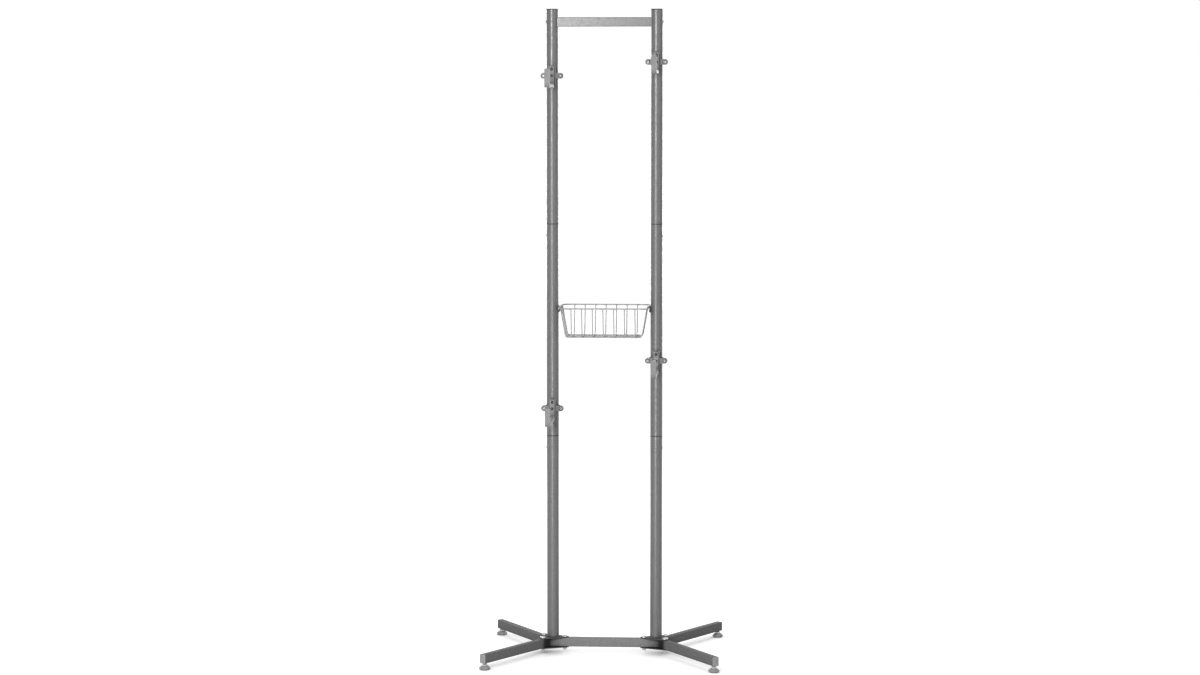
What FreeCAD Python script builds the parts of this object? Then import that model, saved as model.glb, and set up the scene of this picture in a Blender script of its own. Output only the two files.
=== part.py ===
import FreeCAD
import Part
import Sketcher
import math
import os
import re

# Two tier rack: two round columns on a splayed base, four clamped arms and a lift-off wire basket.
# Millimetres.  +X is right, +Y is away from the front, +Z is up.
# The origin is on the floor, half way between the two columns.

DRIVING_SIZES = (
    ("column_spacing", 343.0, "between the axes of the two columns"),
    ("column_diameter", 40.0, "outside of the column tube"),
    ("column_wall", 1.5, "wall of the column tube"),
    ("lower_section_length", 674.5, "base plate up to the lower seam"),
    ("middle_section_length", 701.0, "between the two seams"),
    ("upper_section_length", 700.5, "upper seam up to the cap"),
    ("spigot_length", 55.0, "swaged end that enters the section below"),
    ("spigot_clearance", 0.2, "radial gap around the swaged end"),
    ("spigot_neck", 6.0, "taper inside the swaged end"),
    ("seam_screw_drop", 38.5, "seam down to the axis of its side screw"),
    ("cap_thickness", 3.0, "cap above the tube"),
    ("cap_plug_depth", 12.0, "cap inside the tube"),
    ("cap_plug_wall", 2.0, "wall of the cap's plug"),
    ("cap_edge", 1.0, "bevel round the cap"),
    ("bar_width", 22.0, "crossbars, front to back"),
    ("bar_height", 30.0, "crossbars, bottom to top"),
    ("bar_wall", 1.5, "wall of the crossbars"),
    ("bar_corner", 2.5, "outside corner of the crossbars"),
    ("top_bar_drop", 42.5, "top of the caps down to the axis of the top crossbar"),
    ("base_bar_reach", 181.0, "middle to the end of the base crossbar"),
    ("plug_length", 20.0, "block inside each end of the top crossbar"),
    ("plug_setback", 3.5, "column surface to the block"),
    ("plug_clearance", 0.1, "gap between the block and the crossbar"),
    ("leg_width", 22.0, "legs, across"),
    ("leg_height", 30.0, "legs, bottom to top"),
    ("leg_wall", 1.5, "wall of the legs"),
    ("leg_corner", 2.5, "outside corner of the legs"),
    ("leg_floor_gap", 22.0, "floor to the underside of the legs"),
    ("leg_inner_tail", 25.0, "leg past its bolt, towards the middle"),
    ("leg_outer_tail", 10.0, "leg past its foot, outwards"),
    ("leg_cap_plate", 2.0, "plate of the leg end cap"),
    ("leg_cap_plug", 3.0, "plug of the leg end cap"),
    ("foot_x", 371.0, "foot axis from the middle, sideways"),
    ("foot_y", 306.0, "foot axis from the middle, front to back"),
    ("leg_bolt_x", 202.5, "leg bolt from the middle, sideways"),
    ("leg_bolt_y", 31.0, "leg bolt from the middle, front to back"),
    ("bar_bolt_x", 132.0, "crossbar bolt from the middle"),
    ("plate_thickness", 3.0, "base plates"),
    ("plate_corner", 12.5, "corner of the base plates, about a bolt"),
    ("base_bolt_diameter", 8.0, "base bolts"),
    ("base_bolt_hole", 8.5, "holes for the base bolts"),
    ("base_bolt_head", 19.0, "dome head, across"),
    ("base_bolt_dome", 4.6, "dome head, high"),
    ("base_bolt_tail", 2.5, "base bolt below its nut"),
    ("base_nut_flats", 13.0, "base nuts, across the flats"),
    ("base_nut_height", 6.5, "base nuts, high"),
    ("thread_gap", 0.05, "radial gap between a screw and its thread"),
    ("small_screw_diameter", 5.0, "seam, hanger and arm foot screws"),
    ("small_screw_hole", 5.4, "holes for the small screws"),
    ("small_screw_head", 9.0, "small screw head, across"),
    ("small_screw_head_height", 2.5, "small screw head, high"),
    ("small_screw_grip", 5.6, "seam screw below its head"),
    ("spot_depth", 0.4, "flat seat cut into the column under a head"),
    ("spot_margin", 0.5, "seat past the edge of the head"),
    ("button_diameter", 6.0, "crossbar and clamp bolts"),
    ("button_hole", 6.6, "holes for the crossbar and clamp bolts"),
    ("button_head", 10.5, "button head, across"),
    ("button_head_height", 3.3, "button head, high"),
    ("foot_pad_diameter", 38.0, "levelling foot, across the rim"),
    ("foot_pad_sole", 30.0, "levelling foot, across where it rests"),
    ("foot_pad_flare", 5.5, "levelling foot, floor to the underside of the rim"),
    ("foot_pad_rim", 7.0, "levelling foot, floor to the top of the rim"),
    ("foot_pad_height", 14.0, "levelling foot, height of the pad"),
    ("foot_pad_crown", 20.0, "levelling foot, across the top of the pad"),
    ("foot_pad_floor", 4.0, "pad below the end of the stem"),
    ("foot_stem_diameter", 8.0, "threaded stem of the foot"),
    ("foot_stem_top", 44.0, "floor to the top of the stem"),
    ("foot_collar_flats", 17.0, "hexagon on the stem, across the flats"),
    ("foot_collar_height", 5.0, "hexagon on the stem, high"),
    ("foot_nut_flats", 13.0, "nut inside the leg, across the flats"),
    ("foot_nut_height", 6.5, "nut inside the leg, high"),
    ("running_gap", 0.05, "radial gap of the stem in the pad and the nut"),
    ("basket_rise", 427.5, "lower seam up to the middle of the rim wire"),
    ("basket_depth", 94.0, "rim wire down to the cross wires, middle to middle"),
    ("rim_stand", 25.0, "middle of a column to the rim wire"),
    ("basket_rim_y", 204.0, "rim, front to back, middle of the wire"),
    ("basket_side_lean", 21.5, "rim wire in to the end of the basket floor, sideways"),
    ("basket_floor_y", 138.0, "basket floor, front to back"),
    ("basket_corner", 24.0, "corner of the rim"),
    ("rim_wire_diameter", 5.0, "rim wire"),
    ("mesh_wire_diameter", 3.5, "wires of the basket"),
    ("mesh_pitch", 34.9, "between the basket's wires"),
    ("mesh_bend", 8.0, "bend of a wire at the basket floor"),
    ("weld_gap", 0.02, "between two wires where they are welded"),
    ("hanger_width", 20.0, "hanger plate, front to back"),
    ("hanger_below", 18.0, "rim wire down to the hanger's lower edge"),
    ("hanger_above", 3.0, "rim wire up to the hanger's upper edge"),
    ("hanger_overlap", 4.7, "hanger's sides past its face, round the column"),
    ("hook_width", 12.0, "hook, front to back"),
    ("hook_wall", 2.0, "hook round the rim wire"),
    ("hook_gap", 0.3, "gap between the hook and the rim wire"),
    ("hook_rise", 1.4, "hook above the middle of the rim wire"),
    ("hanger_screw_drop", 12.2, "rim wire down to the hanger's screw"),
    ("arm_rise_upper_left", 485.5, "upper seam up to the clamp screws of this arm"),
    ("arm_rise_upper_right", 530.5, "upper seam up to the clamp screws of this arm"),
    ("arm_rise_lower_left", 91.5, "lower seam up to the clamp screws of this arm"),
    ("arm_rise_lower_right", 251.5, "lower seam up to the clamp screws of this arm"),
    ("arm_reach", 240.0, "column axis to the front of the lip"),
    ("arm_width", 16.0, "arm bar, across"),
    ("arm_thickness", 9.0, "arm bar, thick"),
    ("arm_drop", 38.0, "clamp screws down to the underside of the arm"),
    ("arm_lip_rise", 22.5, "clamp screws up to the top of the lip"),
    ("arm_foot_rise", 30.0, "clamp screws up to the top of the arm's foot"),
    ("arm_lip_bend", 14.0, "outside bend below the lip"),
    ("arm_lip_hollow", 8.0, "inside bend below the lip"),
    ("arm_foot_bend", 6.0, "bends at the arm's foot"),
    ("arm_screw_rise", 21.5, "clamp screws up to the upper foot screw"),
    ("arm_slot_length", 6.0, "travel of the upper foot screw in its slot"),
    ("pad_thickness", 3.0, "cradle pad on the arm"),
    ("pad_lip_thickness", 2.0, "cradle pad on the lip"),
    ("pad_seat_radius", 42.0, "hollow of the cradle pad"),
    ("pad_lip_rise", 18.0, "clamp screws up to the top of the pad"),
    ("pad_start", 41.0, "column axis to the rear end of the pad"),
    ("clamp_gap", 0.3, "gap between the clamp and the column"),
    ("clamp_face", 25.0, "column axis to the front of the clamp"),
    ("spine_width", 24.0, "upright plate of the clamp, across"),
    ("spine_depth", 8.0, "upright plate of the clamp, thick"),
    ("spine_rise", 33.0, "clamp screws up to the top of the upright plate"),
    ("spine_drop", 36.0, "clamp screws down to the foot of the upright plate"),
    ("spine_corner", 4.0, "corner of the upright plate"),
    ("ear_radius", 9.25, "round ears of the clamp"),
    ("ear_offset", 28.0, "column axis to the middle of an ear"),
    ("ear_thickness", 6.0, "ears of both clamp halves"),
    ("ear_parting", 1.0, "between the ears of the two clamp halves"),
    ("strap_thickness", 3.5, "clamp strap behind the column"),
)

DERIVED_SIZES = (
    ("half_spacing", "column_spacing / 2"),
    ("column_radius", "column_diameter / 2"),
    ("column_bore", "column_radius - column_wall"),
    ("spigot_radius", "column_bore - spigot_clearance"),
    ("spigot_bore", "spigot_radius - column_wall"),
    ("leg_axis_height", "leg_floor_gap + leg_height / 2"),
    ("leg_top", "leg_floor_gap + leg_height"),
    ("plate_top", "leg_top + plate_thickness"),
    ("column_seam_low", "plate_top + lower_section_length"),
    ("column_seam_high", "column_seam_low + middle_section_length"),
    ("column_top", "column_seam_high + upper_section_length"),
    ("rack_height", "column_top + cap_thickness"),
    ("top_bar_middle", "rack_height - top_bar_drop"),
    ("arm_height_upper_left", "column_seam_high + arm_rise_upper_left"),
    ("arm_height_upper_right", "column_seam_high + arm_rise_upper_right"),
    ("arm_height_lower_left", "column_seam_low + arm_rise_lower_left"),
    ("arm_height_lower_right", "column_seam_low + arm_rise_lower_right"),
    ("basket_rim_height", "column_seam_low + basket_rise"),
    ("basket_floor_height", "basket_rim_height - basket_depth"),
    ("hanger_low", "basket_rim_height - hanger_below"),
    ("hanger_high", "basket_rim_height + hanger_above"),
    ("hanger_screw_height", "basket_rim_height - hanger_screw_drop"),
    ("leg_run_x", "foot_x - leg_bolt_x"),
    ("leg_run_y", "foot_y - leg_bolt_y"),
    ("leg_run", "sqrt(leg_run_x ^ 2 + leg_run_y ^ 2)"),
    ("leg_end", "leg_run + leg_outer_tail"),
    ("leg_turn", "atan2(leg_run_y; leg_run_x) / 1 deg"),
    ("head_seat", "column_radius - spot_depth"),
    ("plug_near", "column_radius + plug_setback"),
    ("plug_far", "plug_near + plug_length"),
    ("rim_half_x", "half_spacing - rim_stand"),
    ("floor_half_x", "rim_half_x - basket_side_lean"),
    ("rim_half_y", "basket_rim_y / 2"),
    ("rim_wire_radius", "rim_wire_diameter / 2"),
    ("mesh_wire_radius", "mesh_wire_diameter / 2"),
    ("mesh_inset", "rim_wire_radius + mesh_wire_radius + weld_gap"),
    ("long_floor_height", "basket_floor_height - mesh_wire_diameter - weld_gap"),
    ("cross_slant", "atan2(rim_half_y - mesh_inset - basket_floor_y / 2; basket_depth) / 1 deg"),
    ("long_depth", "basket_rim_height - long_floor_height"),
    ("long_slant", "atan2(rim_half_x - mesh_inset - floor_half_x; long_depth) / 1 deg"),
    ("cross_top", "rim_half_y - mesh_inset / cos(cross_slant)"),
    ("long_top", "rim_half_x - mesh_inset / cos(long_slant)"),
    ("hook_radius", "rim_wire_radius + hook_gap"),
    ("hanger_face", "rim_stand - hook_radius"),
    ("clamp_bore", "column_radius + clamp_gap"),
    ("strap_radius", "clamp_bore + strap_thickness"),
    ("ear_back", "clamp_face - ear_thickness"),
    ("rear_ear_front", "ear_back - ear_parting"),
    ("rear_ear_back", "rear_ear_front - ear_thickness"),
    ("arm_top", "arm_thickness - arm_drop"),
    ("arm_foot_face", "clamp_face + arm_thickness"),
    ("arm_lip_face", "arm_reach - arm_thickness"),
    ("pad_top", "arm_top + pad_thickness"),
    ("pad_lip_face", "arm_lip_face - pad_lip_thickness"),
    ("pad_seat_start", "pad_lip_face - pad_seat_radius"),
)

SIDES = (("left", -1), ("right", 1))
ENDS = (("front", -1), ("rear", 1))
TIERS = ("upper", "lower")

os.makedirs("parts", exist_ok=True)
doc = FreeCAD.newDocument("TwoTierRack")
sheet = doc.addObject("Spreadsheet::Sheet", "Sizes")
subparts = []
names = set()


def fill_sheet():
    """Write every size into the sheet and give its cell a name."""
    rows = [(alias, str(value), note) for alias, value, note in DRIVING_SIZES]
    rows += [(alias, "=" + formula, "worked out") for alias, formula in DERIVED_SIZES]
    for row, (alias, content, note) in enumerate(rows, start=1):
        sheet.set("A%d" % row, note)
        sheet.set("B%d" % row, content)
        sheet.setAlias("B%d" % row, alias)
        names.add(alias)
    doc.recompute()


def bound(formula):
    """Point each size named in a formula at its cell in the sheet."""
    def cell(word):
        return ("Sizes." if word.group() in names else "") + word.group()

    return re.sub(r"[a-z_]+", cell, formula)


def number(formula):
    """Work a formula out, in millimetres or degrees."""
    result = sheet.evalExpression(bound(formula))
    return float(getattr(result, "Value", result))


def bind(item, **formulas):
    """Tie properties of an object to formulas of named sizes."""
    for name, formula in formulas.items():
        item.setExpression(name, bound(formula))


def place(item, x="0", y="0", z="0", turn="0"):
    """Put an object at a point, turned about its own upright axis."""
    for axis, formula in (("x", x), ("y", y), ("z", z)):
        item.setExpression("Placement.Base." + axis, bound(formula))
    item.setExpression("Placement.Rotation.Angle", bound(turn))
    return item


def subpart(item):
    """Note an object as one of the rack's own pieces."""
    subparts.append(item)
    return item


def new_body(name):
    """Start a solid."""
    body = doc.addObject("PartDesign::Body", name)
    body.Label = name
    return body


def new_sketch(body, name, role, offset="0"):
    """Start a sketch on one of the body's own planes, moved along its normal."""
    support = next(item for item in body.Origin.OriginFeatures if item.Role == role)
    sketch = body.newObject("Sketcher::SketchObject", body.Name + "_" + name)
    sketch.AttachmentSupport = [(support, "")]
    sketch.MapMode = "FlatFace"
    sketch.setExpression("AttachmentOffset.Base.z", bound(offset))
    return sketch


def fix_point(sketch, geometry, position, x, y):
    """Hold one point of a sketch at a distance from the sketch's origin."""
    for kind, formula in (("DistanceX", x), ("DistanceY", y)):
        index = sketch.addConstraint(Sketcher.Constraint(kind, -1, 1, geometry, position, number(formula)))
        sketch.setExpression("Constraints[%d]" % index, bound(formula))


def fix_radius(sketch, geometry, radius):
    """Hold the radius of a circle or an arc."""
    index = sketch.addConstraint(Sketcher.Constraint("Radius", geometry, number(radius)))
    sketch.setExpression("Constraints[%d]" % index, bound(radius))


def circle(sketch, x, y, radius):
    """Draw a circle."""
    centre = FreeCAD.Vector(number(x), number(y), 0)
    index = sketch.addGeometry(Part.Circle(centre, FreeCAD.Vector(0, 0, 1), number(radius)))
    fix_point(sketch, index, 3, x, y)
    fix_radius(sketch, index, radius)


def bulge(start, end, radius):
    """Give the arc from start to end that bulges to the right of the way it runs."""
    chord = end - start
    middle = (start + end) / 2
    rise = math.sqrt(max(radius ** 2 - (chord.Length / 2) ** 2, 0.0))
    left = FreeCAD.Vector(-chord.y, chord.x, 0).normalize()
    centre = middle + left * rise
    first = math.atan2(start.y - centre.y, start.x - centre.x)
    last = math.atan2(end.y - centre.y, end.x - centre.x)
    round_face = Part.Circle(centre, FreeCAD.Vector(0, 0, 1), radius)
    return Part.ArcOfCircle(round_face, first, last if last > first else last + 2 * math.pi)


def outline(sketch, points, arcs=None):
    """Draw a closed line through the points; arcs gives the radius of the runs that are curved.

    A radius bulges to the right of the way the line runs, or to the left with a leading minus.
    The word half makes a half circle that bulges to the right.
    """
    arcs = arcs or {}
    corners = [FreeCAD.Vector(number(x), number(y), 0) for x, y in points]
    runs = []
    for index, start in enumerate(corners):
        end = corners[(index + 1) % len(corners)]
        radius = arcs.get(index)
        if radius is None:
            runs.append((sketch.addGeometry(Part.LineSegment(start, end)), 1, 2))
        elif radius == "half":
            runs.append((sketch.addGeometry(bulge(start, end, (end - start).Length / 2)), 1, 2))
        elif radius.startswith("-"):
            runs.append((sketch.addGeometry(bulge(end, start, number(radius[1:]))), 2, 1))
        else:
            runs.append((sketch.addGeometry(bulge(start, end, number(radius))), 1, 2))
    for index, (geometry, first, last) in enumerate(runs):
        following, following_first, _ = runs[(index + 1) % len(runs)]
        sketch.addConstraint(Sketcher.Constraint("Coincident", geometry, last, following, following_first))
    for index, (x, y) in enumerate(points):
        fix_point(sketch, runs[index][0], runs[index][1], x, y)
    for index, radius in arcs.items():
        arc = runs[index][0]
        if radius == "half":
            sketch.addConstraint(Sketcher.Constraint("Symmetric", arc, 1, arc, 2, arc, 3))
        else:
            fix_radius(sketch, arc, radius.lstrip("-"))


def rounded(sketch, corners, radius):
    """Draw the band that a circle's edge makes round the corners, listed anticlockwise."""
    size = number(radius)
    centres = [FreeCAD.Vector(number(x), number(y), 0) for x, y in corners]
    count = len(centres)
    normals = []
    for index, start in enumerate(centres):
        run = centres[(index + 1) % count] - start
        normals.append(FreeCAD.Vector(run.y, -run.x, 0).normalize())
    for index, centre in enumerate(centres):
        before, after = normals[index - 1], normals[index]
        first = math.atan2(before.y, before.x)
        last = math.atan2(after.y, after.x)
        edge = Part.Circle(centre, FreeCAD.Vector(0, 0, 1), size)
        sketch.addGeometry(Part.ArcOfCircle(edge, first, last if last > first else last + 2 * math.pi))
        following = centres[(index + 1) % count]
        sketch.addGeometry(Part.LineSegment(centre + after * size, following + after * size))
    for index, (x, y) in enumerate(corners):
        arc, line, following = 2 * index, 2 * index + 1, (2 * index + 2) % (2 * count)
        sketch.addConstraint(Sketcher.Constraint("Tangent", arc, 2, line, 1))
        sketch.addConstraint(Sketcher.Constraint("Tangent", line, 2, following, 1))
        fix_point(sketch, arc, 3, x, y)
        fix_radius(sketch, arc, radius)


def rectangle(sketch, x_low, y_low, x_high, y_high):
    """Draw an upright rectangle."""
    outline(sketch, ((x_low, y_low), (x_high, y_low), (x_high, y_high), (x_low, y_high)))


def pad(body, sketch, length, both=False, backward=False):
    """Raise a sketch into a solid."""
    feature = body.newObject("PartDesign::Pad", sketch.Name + "_pad")
    feature.Profile = sketch
    feature.Reversed = backward
    feature.Midplane = both
    bind(feature, Length=length)
    doc.recompute()
    return feature


def cut_through(body, sketch, both=False, backward=False):
    """Cut a sketch out of the solid, one way or both, and make sure that it cuts."""
    before = body.Shape.Volume
    feature = body.newObject("PartDesign::Pocket", sketch.Name + "_cut")
    feature.Profile = sketch
    feature.Type = "ThroughAll"
    feature.Reversed = backward
    feature.Midplane = both
    doc.recompute()
    if body.Shape.Volume > before - 0.01:
        raise RuntimeError(sketch.Name + " cuts nothing")
    return feature


def turn_profile(body, name, points, axis, arcs=None):
    """Turn a profile about X, Y or Z; a point is (along, out) about X and (out, along) otherwise."""
    sketch = new_sketch(body, name, "XZ_Plane" if axis == "Z" else "XY_Plane")
    outline(sketch, points, arcs)
    feature = body.newObject("PartDesign::Revolution", sketch.Name + "_turn")
    feature.Profile = sketch
    feature.ReferenceAxis = (sketch, ["H_Axis" if axis == "X" else "V_Axis"])
    feature.Angle = 360
    doc.recompute()
    return feature


def round_edges(body, name, radius, wanted):
    """Round the edges that the test picks."""
    base = body.Tip
    edges = ["Edge%d" % index for index, edge in enumerate(base.Shape.Edges, start=1) if wanted(edge)]
    if not edges:
        raise RuntimeError(body.Name + " has no edge for " + name)
    feature = body.newObject("PartDesign::Fillet", body.Name + "_" + name)
    feature.Base = (base, edges)
    bind(feature, Radius=radius)
    doc.recompute()
    return feature


def along(edge, axis):
    """Tell whether an edge is straight and runs along an axis."""
    straight = isinstance(edge.Curve, (Part.Line, Part.LineSegment))
    return straight and abs(edge.tangentAt(edge.FirstParameter).dot(axis)) > 0.999


def at(edge, **levels):
    """Tell whether the middle of an edge's box lies on each given level."""
    middle = edge.BoundBox.Center
    return all(abs(getattr(middle, axis) - level) < 0.01 for axis, level in levels.items())


def hexagon(sketch, flats):
    """Draw a hexagon with flats that face +X and -X."""
    point = "(%s) / sqrt(3)" % flats
    half, low = "(%s) / 2" % flats, "(%s) / 2 / sqrt(3)" % flats
    outline(sketch, (
        ("0", "-" + point), (half, "-" + low), (half, low),
        ("0", point), ("-" + half, low), ("-" + half, "-" + low),
    ))


def copies(label, original, spots):
    """Group separate solids of one form: the first is the original, the rest repeat it."""
    items = []
    for index, spot in enumerate(spots):
        if index == 0:
            item = original
        else:
            item = doc.addObject("App::Link", "%s_%d" % (original.Name, index + 1))
            item.LinkedObject = original
        items.append(place(item, **spot))
    return group(label, items)


def group(label, items):
    """Keep several small solids together as one piece of the list."""
    compound = doc.addObject("Part::Compound", label)
    compound.Label = label
    compound.Links = items
    return subpart(compound)


def screw(name, axis, head_radius, head_height, shank_radius, shank_length, dome):
    """Make a round-headed screw that points inwards along an axis, head seat at the origin."""
    body = new_body(name)
    profile = [
        ("0", head_height), (head_radius, head_height), (head_radius, "0"), (shank_radius, "0"),
        (shank_radius, "-(%s)" % shank_length), ("0", "-(%s)" % shank_length),
    ]
    if axis == "X":
        profile = [("-(%s)" % height, out) for out, height in profile]
    elif axis == "Y":
        profile = [(out, "-(%s)" % height) for out, height in profile]
    turn_profile(body, "profile", profile, axis)
    level = {"x": -number(head_height)} if axis == "X" else {"y": -number(head_height)}
    if axis == "Z":
        level = {"z": number(head_height)}
    wide = 2 * number(head_radius) - 0.01
    round_edges(body, "dome", dome, lambda edge: at(edge, **level) and edge.BoundBox.DiagonalLength > wide)
    return body


def column_section(label, sign, low, high, outer_holes, inner_holes, through_holes, spigot):
    """Make one section of a column, turned so that local -X faces outwards."""
    body = new_body(label)
    length = "%s - %s" % (high, low)
    if spigot:
        profile = (
            ("spigot_bore", "-spigot_length"), ("spigot_radius", "-spigot_length"), ("spigot_radius", "0"),
            ("column_radius", "0"), ("column_radius", length), ("column_bore", length),
            ("column_bore", "spigot_neck"), ("spigot_bore", "0"),
        )
    else:
        profile = (
            ("column_bore", "0"), ("column_radius", "0"), ("column_radius", length), ("column_bore", length),
        )
    turn_profile(body, "wall", profile, "Z")
    for name, levels, radius, both, backward in (
        ("outer_holes", outer_holes, "small_screw_hole / 2", False, False),
        ("inner_holes", inner_holes, "small_screw_hole / 2", False, True),
        ("through_holes", through_holes, "button_hole / 2", True, False),
    ):
        if levels:
            sketch = new_sketch(body, name, "YZ_Plane")
            for level in levels:
                circle(sketch, "0", level, radius)
            cut_through(body, sketch, both, backward)
    screw_seat = "small_screw_head / 2 + spot_margin"
    seats = [(level, screw_seat) for level in outer_holes if not level.startswith("-")]
    seats += [(level, "button_head / 2 + spot_margin") for level in through_holes]
    if seats:
        sketch = new_sketch(body, "head_seats", "YZ_Plane", "-head_seat")
        for level, radius in seats:
            circle(sketch, "0", level, radius)
        cut_through(body, sketch)
    place(body, x="%d * half_spacing" % sign, z=low, turn="90 + %d * 90" % sign)
    return subpart(body)


def columns():
    """Make the two columns, each of three sections with a cap."""
    for side, sign in SIDES:
        column_section(
            "column_lower_" + side, sign, "plate_top", "column_seam_low",
            ["column_seam_low - plate_top - seam_screw_drop"], [], [], False,
        )
        column_section(
            "column_middle_" + side, sign, "column_seam_low", "column_seam_high",
            ["-seam_screw_drop", "column_seam_high - column_seam_low - seam_screw_drop"],
            ["hanger_screw_height - column_seam_low"], [], True,
        )
        column_section(
            "column_upper_" + side, sign, "column_seam_high", "column_top",
            ["-seam_screw_drop"], [], ["top_bar_middle - column_seam_high"], True,
        )
    cap = new_body("column_cap")
    plug = "column_bore - plug_clearance"
    turn_profile(cap, "profile", (
        ("0", "0"), (plug + " - cap_plug_wall", "0"), (plug + " - cap_plug_wall", "-cap_plug_depth"),
        (plug, "-cap_plug_depth"), (plug, "0"), ("column_radius", "0"),
        ("column_radius", "cap_thickness - cap_edge"), ("column_radius - cap_edge", "cap_thickness"),
        ("0", "cap_thickness"),
    ), "Z")
    copies("column_caps", cap, [{"x": "%d * half_spacing" % sign, "z": "column_top"} for _, sign in SIDES])


def box_tube(body, width, height, wall, corner, start, length):
    """Make a square tube that runs along +X."""
    outside = new_sketch(body, "outside", "YZ_Plane", start)
    half_width, half_height = "(%s) / 2" % width, "(%s) / 2" % height
    rectangle(outside, "-" + half_width, "-" + half_height, half_width, half_height)
    pad(body, outside, length)
    round_edges(body, "corners", corner, lambda edge: along(edge, FreeCAD.Vector(1, 0, 0)))
    inside = new_sketch(body, "inside", "YZ_Plane")
    inner_width, inner_height = "(%s - %s)" % (half_width, wall), "(%s - %s)" % (half_height, wall)
    rectangle(inside, "-" + inner_width, "-" + inner_height, inner_width, inner_height)
    cut_through(body, inside, both=True)


def crossbars():
    """Make the top crossbar with its end blocks and side bolts, and the base crossbar."""
    top = new_body("top_crossbar")
    box_tube(top, "bar_width", "bar_height", "bar_wall", "bar_corner", "-half_spacing", "column_spacing")
    saddles = new_sketch(top, "saddles", "XY_Plane")
    for _, sign in SIDES:
        circle(saddles, "%d * half_spacing" % sign, "0", "column_radius")
    cut_through(top, saddles, both=True)
    subpart(place(top, z="top_bar_middle"))

    plug = new_body("crossbar_plug")
    block = new_sketch(plug, "block", "YZ_Plane", "plug_near")
    half_width = "(bar_width / 2 - bar_wall - plug_clearance)"
    half_height = "(bar_height / 2 - bar_wall - plug_clearance)"
    rectangle(block, "-" + half_width, "-" + half_height, half_width, half_height)
    pad(plug, block, "plug_length")
    bore = new_sketch(plug, "bore", "YZ_Plane")
    circle(bore, "0", "0", "button_diameter / 2 + thread_gap")
    cut_through(plug, bore, both=True)
    copies("crossbar_plugs", plug, [
        {"x": "%d * half_spacing" % sign, "z": "top_bar_middle", "turn": "90 + %d * 90" % sign}
        for _, sign in SIDES
    ])

    bolt = screw(
        "crossbar_bolt", "X", "button_head / 2", "button_head_height", "button_diameter / 2",
        "head_seat + plug_far - 3", "button_head_height * 0.7",
    )
    copies("crossbar_bolts", bolt, [
        {
            "x": "%d * (half_spacing + head_seat)" % sign,
            "z": "top_bar_middle",
            "turn": "90 + %d * 90" % sign,
        }
        for _, sign in SIDES
    ])

    base = new_body("base_crossbar")
    box_tube(
        base, "bar_width", "bar_height", "bar_wall", "bar_corner", "-base_bar_reach", "2 * base_bar_reach",
    )
    holes = new_sketch(base, "bolt_holes", "XY_Plane")
    for _, sign in SIDES:
        circle(holes, "%d * bar_bolt_x" % sign, "0", "base_bolt_hole / 2")
    cut_through(base, holes, both=True)
    subpart(place(base, z="leg_floor_gap + bar_height / 2"))


def legs():
    """Make the four legs; along its own +X each runs from its bolt to its foot."""
    spots = []
    for end, fore in ENDS:
        for side, sign in SIDES:
            leg = new_body("leg_%s_%s" % (end, side))
            box_tube(
                leg, "leg_width", "leg_height", "leg_wall", "leg_corner", "-leg_inner_tail",
                "leg_inner_tail + leg_end",
            )
            bolt_hole = new_sketch(leg, "bolt_hole", "XY_Plane")
            circle(bolt_hole, "0", "0", "base_bolt_hole / 2")
            cut_through(leg, bolt_hole, both=True)
            foot_hole = new_sketch(leg, "foot_hole", "XY_Plane")
            circle(foot_hole, "leg_run", "0", "base_bolt_hole / 2")
            cut_through(leg, foot_hole)
            spot = {
                "x": "%d * leg_bolt_x" % sign,
                "y": "%d * leg_bolt_y" % fore,
                "z": "leg_axis_height",
                "turn": "%d * leg_turn" % fore if sign > 0 else "180 - %d * leg_turn" % fore,
            }
            subpart(place(leg, **spot))
            spots.append(spot)

    cap = new_body("leg_cap")
    plate = new_sketch(cap, "plate", "YZ_Plane", "leg_end")
    rounded(plate, (
        ("leg_corner - leg_width / 2", "leg_corner - leg_height / 2"),
        ("leg_width / 2 - leg_corner", "leg_corner - leg_height / 2"),
        ("leg_width / 2 - leg_corner", "leg_height / 2 - leg_corner"),
        ("leg_corner - leg_width / 2", "leg_height / 2 - leg_corner"),
    ), "leg_corner")
    pad(cap, plate, "leg_cap_plate")
    inner_width = "(leg_width / 2 - leg_wall - plug_clearance)"
    inner_height = "(leg_height / 2 - leg_wall - plug_clearance)"
    plug = new_sketch(cap, "plug", "YZ_Plane", "leg_end")
    rectangle(plug, "-" + inner_width, "-" + inner_height, inner_width, inner_height)
    pad(cap, plug, "leg_cap_plug", backward=True)
    copies("leg_caps", cap, spots)

    nut = new_body("leg_nut")
    form = new_sketch(nut, "form", "XY_Plane", "leg_wall - leg_height / 2")
    hexagon(form, "foot_nut_flats")
    circle(form, "0", "0", "foot_stem_diameter / 2 + running_gap")
    pad(nut, form, "foot_nut_height")
    copies("leg_nuts", nut, [
        {
            "x": "%d * foot_x" % sign,
            "y": "%d * foot_y" % fore,
            "z": "leg_axis_height",
            "turn": "%d * leg_turn" % (fore * sign),
        }
        for _, fore in ENDS for _, sign in SIDES
    ])


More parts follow.
